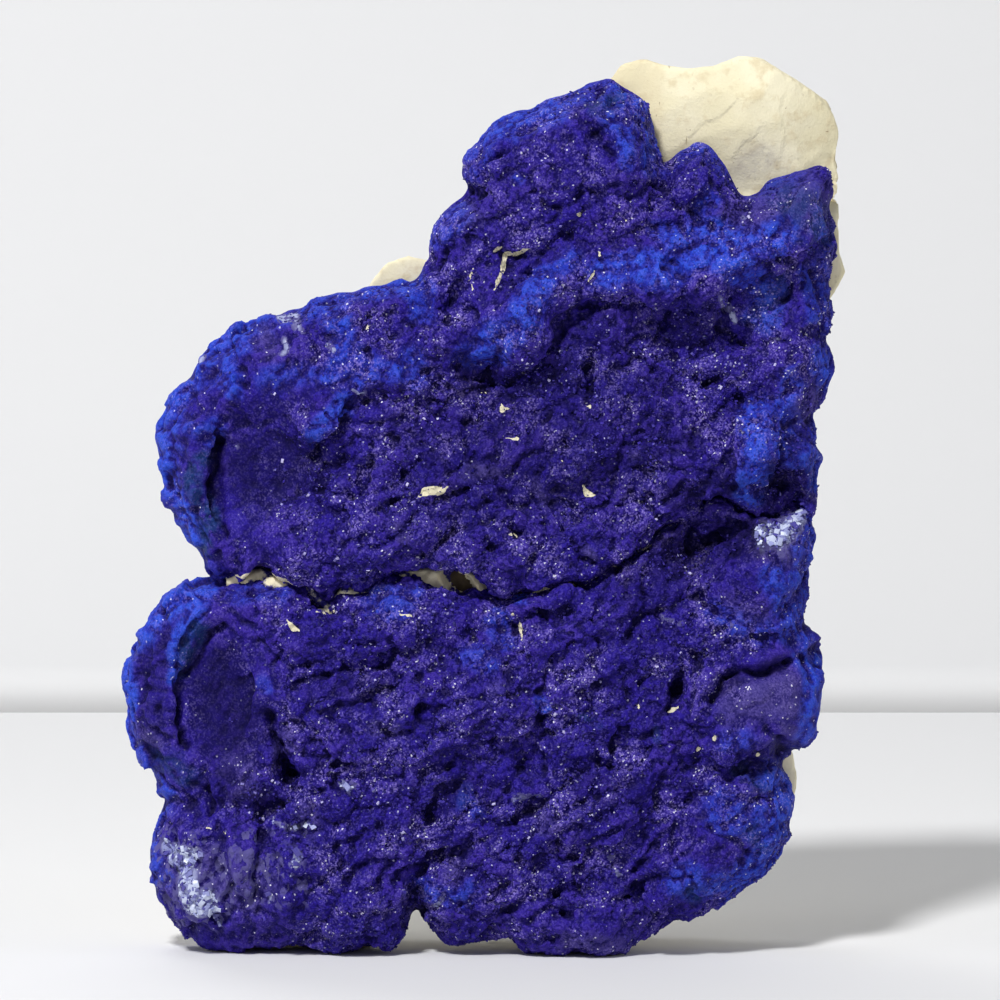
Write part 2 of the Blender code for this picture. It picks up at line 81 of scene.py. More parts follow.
class Surface(Enum):
    """Which finish a zone of a growth shows."""

    AZURE = "azure"
    TEAL = "teal"
    GREY = "grey"
    SILVER_SHEEN = "silver_sheen"
    # Painted shade: the deep zones mix near-black into cavities, cracks and under ledges, and give the fans'
    # dishes a darker tone.
    DARK_AND_SHADE = "deep"
    CLAY = "clay"


# ---------------------------------------------------------------- number fields


def smoothstep(values: Array, low: float, high: float) -> Array:
    """Return an eased 0 to 1 ramp between low and high."""
    t = np.clip((values - low) / (high - low), 0.0, 1.0)
    return t * t * (3.0 - 2.0 * t)


def saw(values: Array, drop_from: float) -> Array:
    """Return a wave that rises from 0 to 1 over most of each whole number and then drops."""
    part = values - np.floor(values)
    return np.where(part < drop_from, part / drop_from, (1.0 - part) / (1.0 - drop_from))


def hashed(cells: Array, seed: int) -> Array:
    """Return four even random numbers for each whole-number cell.

    Args:
        cells: whole numbers, one row of three per cell.
        seed: picks the pattern.

    Returns:
        Rows of four numbers from 0 to 1.
    """
    x, y, z = (cells.astype(np.int64) * CELL_MIX[:3]).T
    key = x ^ y ^ z ^ seed * CELL_MIX[3]
    columns = []
    for turn in range(4):
        key = (key ^ (key >> 15)) * KEY_MIX[0] & 0xFFFFFFFF
        key = (key ^ (key >> 13)) * KEY_MIX[1] & 0xFFFFFFFF
        columns.append(((key ^ (key >> 16)) & 0xFFFFFF) / float(0xFFFFFF))
        key = key + turn * KEY_MIX[2] + KEY_MIX[3]
    return np.column_stack(columns)


@dataclass(frozen=True)
class Grains:
    """Broken cells of uneven size: tilted flats with steps and clefts between them."""

    size: float
    dome: float = 0.0
    step: float = 0.0
    tilt: float = 0.0
    cleft: float = 0.0
    cleft_width: float = 0.09
    stretch: Triple = (1.0, 1.0, 1.0)
    uneven: float = 0.35

    def nearest(self, points: Array, seed: int) -> tuple[Array, Array, Array, Array]:
        """Find the nearest cells of each point.

        Args:
            points: places in millimetres.
            seed: picks the pattern.

        Returns:
            Distance to the first and second cell in cell sizes, the way from the first cell's
            middle in millimetres, and four random numbers of that cell.
        """
        scaled = points / (np.array(self.stretch) * self.size)
        base = np.floor(scaled).astype(np.int64)
        first = np.full(len(points), 9.0)
        second = np.full(len(points), 9.0)
        way = np.zeros_like(points)
        marks = np.zeros((len(points), 4))
        for step in np.ndindex(3, 3, 3):
            cell = base + (np.array(step) - 1)
            own = hashed(cell, seed)
            offset = scaled - (cell + own[:, :3])
            away = np.sqrt((offset * offset).sum(axis=1)) + self.uneven * own[:, 3]
            closer = away < first
            second = np.where(closer, first, np.minimum(second, away))
            first = np.where(closer, away, first)
            way[closer] = offset[closer] * self.size
            marks[closer] = hashed(cell[closer], seed + 7)
        return first, second, way, marks

    def height(self, points: Array, seed: int) -> Array:
        """Return how far each point stands out of the mean, in millimetres."""
        first, second, way, marks = self.nearest(points, seed)
        rise = self.dome * np.sqrt(np.clip(1.0 - first * first, 0.0, 1.0))
        rise += self.step * marks[:, 3] + self.tilt * (way * (marks[:, :3] * 2.0 - 1.0)).sum(axis=1)
        rise -= self.cleft * np.exp(-(second - first) / self.cleft_width)
        return rise - rise.mean()


def cloud(points: Array, size: float, seed: int, layers: int = 3) -> Array:
    """Return soft noise from about -1 to 1.

    Args:
        points: places in millimetres.
        size: length of the largest waves.
        seed: picks the pattern.
        layers: how many times finer waves are added.
    """
    total = np.zeros(len(points))
    for layer in range(layers):
        scaled = points / size * 2.0**layer
        base = np.floor(scaled)
        part = scaled - base
        part = part * part * (3.0 - 2.0 * part)
        value = np.zeros(len(points))
        for corner in np.ndindex(2, 2, 2):
            weight = np.prod(np.where(np.array(corner) == 1, part, 1.0 - part), axis=1)
            value += weight * hashed(base + np.array(corner), seed + layer)[:, 0]
        total += (value * 2.0 - 1.0) * 0.5**layer
    return total


def run_distance(points: Array, run: Run, closed: bool = False) -> Array:
    """Return the distance from each point to a run of straight pieces."""
    line = np.array(run, float)
    starts = line if closed else line[:-1]
    ends = np.roll(line, -1, axis=0) if closed else line[1:]
    nearest = np.full(len(points), 1e9)
    for start, end in zip(starts, ends):
        span = end - start
        part = np.clip((points - start) @ span / (span @ span + 1e-12), 0.0, 1.0)
        gap = points - start - part[:, None] * span
        nearest = np.minimum(nearest, gap[:, 0] ** 2 + gap[:, 1] ** 2)
    return np.sqrt(nearest)


def along_run(points: Array, run: Run) -> tuple[Array, Array, Array]:
    """Measure points against a run of straight pieces.

    Args:
        points: places in millimetres.
        run: the run's points.

    Returns:
        Distance to the run, the side (1 on its left, -1 on its right) and how far the nearest
        place on the run is from its closer end.
    """
    line = np.array(run, float)
    lengths = np.hypot(*np.diff(line, axis=0).T)
    total, passed = lengths.sum(), 0.0
    nearest = np.full(len(points), 1e9)
    side = np.ones(len(points))
    place = np.zeros(len(points))
    for start, end, length in zip(line[:-1], line[1:], lengths):
        span = end - start
        part = np.clip((points - start) @ span / (length * length), 0.0, 1.0)
        gap = points - start - part[:, None] * span
        away = np.hypot(gap[:, 0], gap[:, 1])
        closer = away < nearest
        nearest = np.where(closer, away, nearest)
        side = np.where(closer, np.sign(span[0] * gap[:, 1] - span[1] * gap[:, 0]), side)
        place = np.where(closer, passed + part * length, place)
        passed += length
    return nearest, side, np.minimum(place, total - place)


def inside(points: Array, loop: Array) -> Array:
    """Tell which points lie inside a closed loop."""
    x, z = points[:, 0], points[:, 1]
    result = np.zeros(len(points), bool)
    for (x0, z0), (x1, z1) in zip(loop, np.roll(loop, -1, axis=0)):
        if z0 != z1:
            crosses = (z0 > z) != (z1 > z)
            result ^= crosses & (x < (x1 - x0) * (z - z0) / (z1 - z0) + x0)
    return result


def lengths_along(line: Array) -> Array:
    """Return how far along a run each of its points lies."""
    return np.concatenate([[0.0], np.cumsum(np.hypot(*np.diff(line, axis=0).T))])


def places_at(line: Array, stops: Array) -> Array:
    """Return the places on a run at the given distances along it."""
    along = lengths_along(line)
    return np.column_stack([np.interp(stops, along, line[:, axis]) for axis in (0, 1)])


def smooth_loop(run: Run, step: float, pull: float = 0.38, cuts: int = 12) -> Array:
    """Run a rounded closed curve through the points and cut it to even steps.

    Args:
        run: the points of the curve.
        step: distance between the points that are returned.
        pull: how strongly each stretch follows its neighbours' direction.
        cuts: straight pieces that stand for each stretch while it is measured.
    """
    ring = np.array(run, float)
    before, after = np.roll(ring, 1, axis=0), np.roll(ring, -1, axis=0)
    beyond = np.roll(ring, -2, axis=0)
    slope_start, slope_end = (after - before) * pull, (beyond - ring) * pull
    dense = []
    for t in np.linspace(0.0, 1.0, cuts, endpoint=False):
        cubic = 2.0 * t**3 - 3.0 * t**2
        here = (cubic + 1.0) * ring + (t**3 - 2.0 * t**2 + t) * slope_start
        dense.append(here - cubic * after + (t**3 - t**2) * slope_end)
    curve = np.stack(dense, axis=1).reshape(-1, 2)
    closed = np.vstack([curve, curve[:1]])
    total = lengths_along(closed)[-1]
    return places_at(closed, np.linspace(0.0, total, int(round(total / step)), endpoint=False))


def hex_fill(loop: Array, step: float, margin: float) -> Array:
    """Return an even field of points inside a loop, clear of its edge."""
    low, high = loop.min(axis=0), loop.max(axis=0)
    rows = np.arange(low[1], high[1], step * math.sqrt(0.75))
    columns = np.arange(low[0], high[0], step)
    grid = np.array([(x + (n % 2) * step / 2.0, z) for n, z in enumerate(rows) for x in columns])
    grid = grid[inside(grid, loop)]
    return grid[run_distance(grid, loop, True) > margin]


def bow(points: Array) -> Array:
    """Return the depth of the bowed sheet between azurite and stone."""
    x, z = points[:, 0], points[:, 1]
    side = np.where(x < 0.0, BOW_LEFT, BOW_RIGHT) * (np.abs(x) / HALF_WIDTH) ** 3
    return side + BOW_FOOT * (np.clip(MIDDLE - z, 0.0, None) / MIDDLE) ** 3


def over_sheet(points: Array) -> Array:
    """Return how far each point stands in front of the bowed sheet."""
    return bow(points[:, [0, 2]]) - points[:, 1]


def turned_by(points: Array, middle: Point, turn: float) -> tuple[Array, Array]:
    """Measure points along and across a direction.

    Args:
        points: places in millimetres.
        middle: the place to measure from.
        turn: the direction, in degrees from the right.

    Returns:
        How far each point lies along the direction and how far to its left.
    """
    angle = math.radians(turn)
    x, z = points[:, 0] - middle[0], points[:, 1] - middle[1]
    return (x * math.cos(angle) + z * math.sin(angle), z * math.cos(angle) - x * math.sin(angle))


def strongest(shares: Sequence[Array], count: int) -> Array:
    """Return the largest of several shares at each of so many points, and 0 where there is none."""
    return np.max([np.zeros(count), *shares], axis=0)


# ---------------------------------------------------------------- mesh helpers


def sheet_faces(loop: Array, extra: Array) -> list[list[int]]:
    """Triangulate a loop and the points in it; the loop's points come first."""
    points = [Vector(point) for point in np.vstack([loop, extra]).tolist()]
    count = len(loop)
    edges = [(index, (index + 1) % count) for index in range(count)]
    result = delaunay_2d_cdt(points, edges, [], 1, 1e-7)
    order = [source[0] for source in result[3]]
    return [[order[corner] for corner in face] for face in result[2]]


def put_in_scene(name: str, data: bpy.types.ID) -> bpy.types.Object:
    """Make an object of a mesh, lamp or camera and show it in the scene."""
    thing = bpy.data.objects.new(name, data)
    bpy.context.scene.collection.objects.link(thing)
    return thing


def new_piece(name: str, corners: Array, faces: Sequence[Sequence[int]]) -> bpy.types.Object:
    """Make a mesh object from corners in millimetres of the outlines' own space."""
    mesh = bpy.data.meshes.new(name)
    mesh.from_pydata(((corners + SHIFT) * MM).tolist(), [], faces)
    mesh.update()
    return put_in_scene(name, mesh)


def orient(mesh: bpy.types.Mesh) -> None:
    """Turn the faces of a closed mesh outwards."""
    work = bmesh.new()
    work.from_mesh(mesh)
    bmesh.ops.recalc_face_normals(work, faces=work.faces[:])
    work.to_mesh(mesh)
    work.free()


def apply_modifiers(piece: bpy.types.Object) -> None:
    """Swap a piece's mesh for what its modifiers make of it."""
    evaluated = piece.evaluated_get(bpy.context.evaluated_depsgraph_get())
    mesh = bpy.data.meshes.new_from_object(evaluated)
    piece.modifiers.clear()
    old = piece.data
    piece.data = mesh
    bpy.data.meshes.remove(old)
    mesh.name = piece.name


def remesh(piece: bpy.types.Object, voxel: float) -> None:
    """Rebuild a closed mesh from even small faces."""
    modifier = piece.modifiers.new("even", "REMESH")
    modifier.mode = "VOXEL"
    modifier.voxel_size = voxel * MM
    apply_modifiers(piece)


def thin_out(piece: bpy.types.Object, spare: Array, share: float) -> None:
    """Merge the small faces of hidden corners into large ones.

    Args:
        piece: the object, changed in place.
        spare: which corners are hidden.
        share: how much of the hidden part's face count is kept.
    """
    group = piece.vertex_groups.new(name="spare")
    group.add(np.flatnonzero(spare).tolist(), 1.0, "REPLACE")
    modifier = piece.modifiers.new("thin", "DECIMATE")
    modifier.vertex_group = group.name
    modifier.ratio = 1.0 - float(spare.mean()) * (1.0 - share)
    apply_modifiers(piece)
    piece.vertex_groups.clear()


def triangles(mesh: bpy.types.Mesh) -> int:
    """Count the triangles of a mesh."""
    return len(mesh.loops) - 2 * len(mesh.polygons)


def cap_triangles(piece: bpy.types.Object, most: int) -> None:
    """Merge small faces all over a piece until it has no more than so many triangles."""
    everywhere = np.ones(len(piece.data.vertices), bool)
    thin_out(piece, everywhere, min(1.0, most / triangles(piece.data)))


def corners_of(mesh: bpy.types.Mesh) -> Array:
    """Return a mesh's corners in millimetres of the outlines' own space."""
    flat = np.empty(len(mesh.vertices) * 3)
    mesh.vertices.foreach_get("co", flat)
    return flat.reshape(-1, 3) / MM - SHIFT


def normals_of(mesh: bpy.types.Mesh) -> Array:
    """Return the normals at a mesh's corners."""
    flat = np.empty(len(mesh.vertices) * 3)
    mesh.vertex_normals.foreach_get("vector", flat)
    return flat.reshape(-1, 3)


def relief(mesh: bpy.types.Mesh, turns: int) -> Array:
    """Return how far each corner stands above the mean surface around it, in millimetres."""
    ends = np.empty(len(mesh.edges) * 2, np.int32)
    mesh.edges.foreach_get("vertices", ends)
    first, second = ends[0::2], ends[1::2]
    points = corners_of(mesh)
    count = np.bincount(ends, minlength=len(points))[:, None]
    soft = points.copy()
    for _ in range(turns):
        total = np.column_stack([
            np.bincount(first, soft[second, axis], len(points))
            + np.bincount(second, soft[first, axis], len(points)) for axis in range(3)])
        soft = 0.5 * (soft + total / count)
    return ((points - soft) * normals_of(mesh)).sum(axis=1)


def set_corners(mesh: bpy.types.Mesh, corners: Array) -> None:
    """Move a mesh's corners to places in millimetres of the outlines' own space."""
    mesh.vertices.foreach_set("co", ((corners + SHIFT) * MM).ravel())
    mesh.update()


def set_mask(mesh: bpy.types.Mesh, name: str, values: Array) -> None:
    """Store one number per corner for a finish to read."""
    layer = mesh.attributes.new(name, "FLOAT", "POINT")
    layer.data.foreach_set("value", np.clip(values, 0.0, 1.0).astype(np.float32))


def shade_by(mesh: bpy.types.Mesh, smooth: Array) -> None:
    """Shade a face smooth where all its corners are marked smooth."""
    counts = np.empty(len(mesh.polygons), np.int32)
    mesh.polygons.foreach_get("loop_total", counts)
    corner = np.empty(len(mesh.loops), np.int32)
    mesh.loops.foreach_get("vertex_index", corner)
    starts = np.concatenate([[0], np.cumsum(counts)[:-1]])
    flags = np.minimum.reduceat(smooth[corner].astype(np.int8), starts).astype(bool)
    mesh.polygons.foreach_set("use_smooth", flags)


# ---------------------------------------------------------------- shader maths


class Signal:
    """A shader output that Python sums can be written with."""

    def __init__(self, bench: "Bench", socket: bpy.types.NodeSocket) -> None:
        """Keep the bench that adds nodes and the socket that gives the value."""
        self.bench = bench
        self.socket = socket

    def __add__(self, other: "Value") -> "Signal":
        """Return self + other."""
        return self.bench.maths("ADD", self, other)

    def __radd__(self, other: "Value") -> "Signal":
        """Return other + self."""
        return self.bench.maths("ADD", other, self)

    def __sub__(self, other: "Value") -> "Signal":
        """Return self - other."""
        return self.bench.maths("SUBTRACT", self, other)

    def __rsub__(self, other: "Value") -> "Signal":
        """Return other - self."""
        return self.bench.maths("SUBTRACT", other, self)

    def __mul__(self, other: "Value") -> "Signal":
        """Return self * other."""
        return self.bench.maths("MULTIPLY", self, other)

    def __rmul__(self, other: "Value") -> "Signal":
        """Return other * self."""
        return self.bench.maths("MULTIPLY", other, self)

    def ramp(self, low: float, high: float) -> "Signal":
        """Return an eased 0 to 1 step of this value between low and high."""
        settings = {"interpolation_type": "SMOOTHSTEP"}
        values = {"Value": self, "From Min": low, "From Max": high}
        return self.bench.node("ShaderNodeMapRange", settings, values)["Result"]


Value = Union[Signal, float]


class Outputs:
    """The outputs of one node, by name."""

    def __init__(self, bench: "Bench", node: bpy.types.Node) -> None:
        """Keep the bench and the node."""
        self.bench = bench
        self.node = node

    def __getitem__(self, key: Union[str, int]) -> Signal:
        """Return one output as a signal."""
        return Signal(self.bench, self.node.outputs[key])


class Bench:
    """A new material and the one method that adds its nodes."""

    def __init__(self, name: str) -> None:
        """Make the material with an empty node tree."""
        self.material = bpy.data.materials.new(name)
        self.material.use_nodes = True
        self.tree = self.material.node_tree
        self.tree.nodes.clear()

    def node(
        self, kind: str, settings: Optional[dict[str, Any]] = None,
        values: Optional[dict[Union[str, int], Any]] = None,
    ) -> Outputs:
        """Add a node.

        Args:
            kind: the node's type.
            settings: what is set before the sockets, such as a Math node's operation.
            values: numbers, colours or signals for the sockets, by name or index.

        Returns:
            The node's outputs.
        """
        node = self.tree.nodes.new(kind)
        for key, value in (settings or {}).items():
            setattr(node, key, value)
        for key, value in (values or {}).items():
            self.feed(node.inputs[key], value)
        return Outputs(self, node)

    def feed(self, socket: bpy.types.NodeSocket, value: Any) -> None:
        """Link a signal to a socket or set its plain value."""
        if isinstance(value, Signal):
            self.tree.links.new(value.socket, socket)
        elif isinstance(value, tuple) and socket.type == "RGBA":
            socket.default_value = (*value[:3], 1.0)
        else:
            socket.default_value = value

    def maths(self, operation: str, first: Value, second: Value) -> Signal:
        """Add a Math node that joins two values."""
        return self.node("ShaderNodeMath", {"operation": operation}, {0: first, 1: second})[0]

    def vector(self, operation: str, first: Any, second: Any) -> Signal:
        """Add a Vector Math node that joins two vectors, or scales the first by a number."""
        place: Union[str, int] = "Scale" if operation == "SCALE" else 1
        return self.node("ShaderNodeVectorMath", {"operation": operation},
                         {0: first, place: second})[0]

    def mix(self, first: Any, second: Any, share: Value) -> Signal:
        """Blend two colours by a share."""
        return self.node("ShaderNodeMix", {"data_type": "RGBA"}, {0: share, 6: first, 7: second})[2]

    def mask(self, name: str) -> Signal:
        """Read a number stored on the mesh."""
        return self.node("ShaderNodeAttribute", {"attribute_name": name})["Fac"]

    def place(self) -> Signal:
        """Return the place on the piece, in metres."""
        return self.node("ShaderNodeTexCoord")["Object"]

    def noise(self, place: Signal, per_mm: float, detail: float = 3.0, rough: float = 0.55) -> Signal:
        """Return soft noise with so many waves per millimetre."""
        values = {"Vector": place, "Scale": per_mm / MM, "Detail": detail, "Roughness": rough}
        return self.node("ShaderNodeTexNoise", {}, values)["Fac"]

    def grains(self, place: Signal, per_mm: float) -> Signal:
        """Return a pattern with so many grains per millimetre, each in a colour of its own."""
        return self.node("ShaderNodeTexVoronoi", {}, {"Vector": place, "Scale": per_mm / MM})["Color"]

    def channels(self, colour: Signal) -> Outputs:
        """Split a colour into Red, Green and Blue."""
        return self.node("ShaderNodeSeparateColor", {}, {"Color": colour})

    def bump(self, height: Signal, strength: float, distance: float) -> Signal:
        """Return the surface direction over a relief so many millimetres deep."""
        values = {"Strength": strength, "Distance": distance * MM, "Height": height}
        return self.node("ShaderNodeBump", {}, values)["Normal"]

    def finish(self, **shader: Any) -> bpy.types.Material:
        """Add the surface shader and return the material.

        Args:
            shader: values of the Principled sockets, with _ for each space.
        """
        values = {key.replace("_", " "): value for key, value in shader.items()}
        surface = self.node("ShaderNodeBsdfPrincipled", {}, values)
        self.node("ShaderNodeOutputMaterial", {}, {"Surface": surface["BSDF"]})
        return self.material


# ---------------------------------------------------------------- finishes


@dataclass(frozen=True)
class AzuriteFinish:
    """Deep blue druse with azure rims, teal bands, grey bloom and clay in cracks; painted sheen, glints and
    shade.
    """

    name: str
    shade_black: Colour = (0.0020, 0.0011, 0.020)
    deep: Colour = (0.0085, 0.0042, 0.110)
    druse: Colour = (0.021, 0.0105, 0.255)
    violet: Colour = (0.038, 0.019, 0.285)
    azure: Colour = (0.016, 0.042, 0.480)
    sky: Colour = (0.034, 0.092, 0.640)
    teal: Colour = (0.012, 0.040, 0.160)
    bloom: Colour = (0.100, 0.072, 0.380)
    ash: Colour = (0.085, 0.068, 0.230)
    pewter: Colour = (0.100, 0.088, 0.270)
    silver_sheen: Colour = (0.440, 0.480, 0.720)
    haze: Colour = (0.270, 0.210, 0.620)
    glint: Colour = (0.780, 0.760, 0.920)
    clay: Colour = (0.760, 0.700, 0.510)
    facet_tilt: float = 0.50
    speck_tilt: float = 0.62
    bump: float = 0.65
    grit_depth: float = 0.26
    facets_per_mm: float = 2.1
    specks_per_mm: float = 5.2
    blocks_per_mm: float = 1.5
    block_stretch: float = 0.55
    gloss: float = 0.07

    def colour(self, bench: Bench, place: Signal, specks: Outputs, cluster: Signal) -> Signal:
        """Mix the colour over the crust.

        Args:
            bench: the material's bench.
            place: the place on the piece.
            specks: random numbers of the smallest crystals.
            cluster: 1 where bright crystals crowd together.

        Returns:
            The colour before the glints and the clay.
        """
        broad = bench.noise(place, 0.15, 3.0)
        patch = bench.noise(place, 0.55, 4.0, 0.6)
        fine = bench.noise(place, 2.2, 4.0, 0.7)
        crest, hollow = bench.mask("crest") - 0.5, bench.mask("hollow")
        # Painted light and shade: the crest mask makes the tone lighter on crests and darker in low places.
        body = fine * 0.55 + patch * 0.45 + crest * 0.50
        tone = bench.mix(self.deep, self.druse, body.ramp(0.34, 0.74))
        tone = bench.mix(tone, self.violet, broad.ramp(0.44, 0.60) * body.ramp(0.42, 0.66) * 0.85)
        tone = bench.mix(tone, self.bloom, cluster * body.ramp(0.44, 0.74) * 0.42)
        tone = bench.mix(tone, self.ash, bench.mask("grey") * body.ramp(0.26, 0.66) * 0.80)
        azure = bench.mask("azure")
        mottled = patch.ramp(0.36, 0.58) * 0.5 + 0.5
        tone = bench.mix(tone, self.azure, azure * body.ramp(0.20, 0.66) * mottled)
        # Painted highlight: paler sky azure on the crests of the azure zones, broken by noise.
        crest_highlight_and_mottle = (crest * 2.0 + broad * 1.2 + fine * 0.5).ramp(0.85, 1.55)
        tone = bench.mix(tone, self.sky, azure * crest_highlight_and_mottle * 0.75)
        tone = bench.mix(tone, self.teal, bench.mask("teal") * patch.ramp(0.32, 0.56))
        tone = bench.mix(tone, self.haze, specks["Blue"].ramp(0.50, 1.0) * (cluster * 0.58 + 0.10))
        tone = bench.mix(tone, self.deep, specks["Blue"].ramp(0.42, 0.0) * 0.45)
        # Painted sheen: silvery blocks mixed into the colour where cleavage faces would catch the light.
        silver_sheen = bench.mask("silver_sheen")
        column = bench.vector("MULTIPLY", place, (1.0, 1.0, self.block_stretch))
        blocks = bench.channels(bench.grains(column, self.blocks_per_mm))
        pale = (blocks["Green"] + fine * 0.5 - 0.25).ramp(0.10, 0.95) * silver_sheen.ramp(0.40, 1.0)
        sheen_tone = bench.mix(self.pewter, self.silver_sheen, pale)
        tone = bench.mix(tone, sheen_tone, (silver_sheen - blocks["Red"] * 0.75).ramp(0.0, 0.20) * 0.9)
        # Painted shade: near-black mixed into the deep zones, the hollows and the low places between crests.
        tone = bench.mix(tone, self.shade_black, bench.mask("deep") * patch.ramp(0.20, 0.62) * 0.80)
        tone = bench.mix(tone, self.shade_black, hollow * 0.68)
        return bench.mix(tone, self.shade_black, (crest * -2.0 - azure * 0.3).ramp(0.45, 1.2) * 0.52)

    def normal(self, bench: Bench, place: Signal, cells: Signal) -> Signal:
        """Lean the surface as crystal faces on a fine grain.

        Args:
            bench: the material's bench.
            place: the place on the piece.
            cells: the random colours of the smallest crystals.

        Returns:
            The surface direction.
        """
        grit = bench.noise(place, 1.7, 6.0, 0.72)
        rough = 1.0 - bench.mask("silk") * 0.55
        bump = bench.bump(grit * rough, self.bump, self.grit_depth)
        facets = bench.grains(place, self.facets_per_mm)
        for colour, tilt in ((facets, self.facet_tilt), (cells, self.speck_tilt)):
            lean = bench.vector("SUBTRACT", colour, (0.5, 0.5, 0.5))
            bump = bench.vector("ADD", bump, bench.vector("SCALE", lean, rough * tilt))
        return bench.vector("NORMALIZE", bump, (0.0, 0.0, 0.0))

    def material(self) -> bpy.types.Material:
        """Build the material."""
        bench = Bench(self.name)
        place = bench.place()
        cells = bench.grains(place, self.specks_per_mm)
        specks = bench.channels(cells)
        silk = bench.mask("silk")
        cluster = bench.noise(place, 0.22, 4.0, 0.6).ramp(0.46, 0.66) * (1.0 - silk * 0.7)
        open_air = (1.0 - bench.mask("hollow")) * (1.0 - bench.mask("deep"))
        # Painted glints: tiny bright specks mixed into the colour and kept out of the painted shade.
        chance = specks["Red"] + cluster * 0.030 + bench.mask("grey") * 0.012 - silk * 0.003
        glint = chance.ramp(0.990, 1.002) * specks["Green"].ramp(-0.2, 1.0) * open_air
        tone = bench.mix(self.colour(bench, place, specks, cluster), self.glint, glint)
        clay = (bench.mask("clay") + bench.noise(place, 1.6, 3.0) * 0.40 - 0.20).ramp(0.47, 0.54)
        tone = bench.mix(tone, self.clay, clay)
        rough = 0.46 + specks["Blue"] * 0.22 - glint * 0.26
        return bench.finish(
            Base_Color=tone, Roughness=rough, Normal=self.normal(bench, place, cells),
            Specular_IOR_Level=self.gloss)


@dataclass(frozen=True)
class CrystalFinish:
    """Glassy little azurite crystals, each with a tint of its own; the palest are painted glints."""

    name: str
    dark: Colour = (0.009, 0.005, 0.125)
    light: Colour = (0.055, 0.036, 0.360)
    pale: Colour = (0.520, 0.490, 0.780)
    highlight_from: float = 0.945
    highlight_fade: float = 0.06
    roughness: float = 0.24

    def material(self) -> bpy.types.Material:
        """Build the material."""
        bench = Bench(self.name)
        place = bench.place()
        tint = bench.mask("tint")
        grain = bench.noise(place, 5.0, 2.0)
        tone = bench.mix(self.dark, self.light, tint.ramp(0.05, self.highlight_from) * (0.6 + grain * 0.6))
        # Painted glints: the crystals with the highest tints turn pale.
        tone = bench.mix(tone, self.pale, tint.ramp(self.highlight_from, self.highlight_from + self.highlight_fade))
        return bench.finish(
            Base_Color=tone, Roughness=self.roughness + grain * 0.16,
            Normal=bench.bump(grain, 0.15, 0.03), Specular_IOR_Level=0.32)


@dataclass(frozen=True)
class ClayFinish:
    """Pale cream claystone with hairline cracks, faint stains and grains of azurite."""

    name: str
    cream: Colour = (0.800, 0.730, 0.500)
    warm: Colour = (0.690, 0.590, 0.380)
    chalk: Colour = (0.860, 0.800, 0.590)
    stain: Colour = (0.450, 0.420, 0.400)
    rust: Colour = (0.200, 0.120, 0.060)
    crack_and_shade_share: float = 0.72
    blue: Colour = (0.012, 0.009, 0.150)
    violet: Colour = (0.050, 0.040, 0.330)

    def material(self) -> bpy.types.Material:
        """Build the material."""
        bench = Bench(self.name)
        place = bench.place()
        broad = bench.noise(place, 0.075, 4.0)
        mottle = bench.noise(place, 0.45, 5.0, 0.6)
        fine = bench.noise(place, 3.2, 4.0, 0.6)
        tone = bench.mix(self.cream, self.chalk, broad.ramp(0.42, 0.62))
        tone = bench.mix(tone, self.warm, mottle.ramp(0.50, 0.68) * 0.75)
        tone = bench.mix(tone, self.warm, bench.mask("aged") * 0.45)
        tone = bench.mix(tone, self.stain, bench.mask("stain") * mottle.ramp(0.30, 0.62) * 0.8)
        specks = bench.noise(place, 1.3, 2.0).ramp(0.66, 0.74)
        tone = bench.mix(tone, self.rust, specks * 0.16)
        # Dark rust along the hairline cracks of the stone; on the seam clay the same mix paints shade into
        # its hollow.
        split = bench.mask("crack") + (mottle - 0.5) * 0.06
        tone = bench.mix(tone, self.rust, split.ramp(0.940, 0.985) * self.crack_and_shade_share)
        dust = bench.noise(place, 1.1, 5.0, 0.7)
        shown = (bench.mask("blue") * 0.38 + dust * 0.9).ramp(0.64, 0.80)
        tone = bench.mix(tone, bench.mix(self.blue, self.violet, fine.ramp(0.3, 0.7)), shown)
        bump = bench.bump(fine * 0.7 + mottle * 1.2, 0.7, 0.14)
        return bench.finish(
            Base_Color=tone, Roughness=0.78 + fine * 0.2, Normal=bump, Specular_IOR_Level=0.3)


@dataclass(frozen=True)
class PaperFinish:
    """Plain pale studio paper."""

    name: str
    tone: Colour = (0.78, 0.78, 0.79)
    fleck: Colour = (0.80, 0.80, 0.80)

    def material(self) -> bpy.types.Material:
        """Build the material."""
        bench = Bench(self.name)
        fine = bench.noise(bench.place(), 0.02, 2.0)
        tone = bench.mix(self.tone, self.fleck, fine * 0.3)
        return bench.finish(Base_Color=tone, Roughness=0.9)


# ---------------------------------------------------------------- forms of a growth


@dataclass(frozen=True)
class Swell:
    """A rounded swelling, or a hollow where the height is negative."""

    x: float
    z: float
    length: float
    breadth: float
    turn: float
    height: float

    def lift(self, points: Array) -> Array:
        """Return the height added at each point."""
        along, across = turned_by(points, (self.x, self.z), self.turn)
        u, v = along / self.length, across / self.breadth
        return self.height * np.clip(1.0 - (u * u + v * v) / 2.0, 0.0, 1.0) ** 2


@dataclass(frozen=True)
class Crease:
    """A groove along a run of points, or a rib where the depth is negative."""

    half_width: float
    depth: float
    run: Run

    def lift(self, points: Array) -> Array:
        """Return the height added at each point."""
        away = run_distance(points, self.run) / self.half_width
        return -self.depth * np.exp(-away * away)


@dataclass(frozen=True)
class Crack:
    """A sharp crack along a run of points, which closes at its ends."""

    width: float
    depth: float
    run: Run
    taper: float = 1.2

    def lift(self, points: Array) -> Array:
        """Return the height added at each point."""
        away, _, place = along_run(points, self.run)
        return -self.depth * np.exp(-away / self.width) * smoothstep(place, -0.1, self.taper)


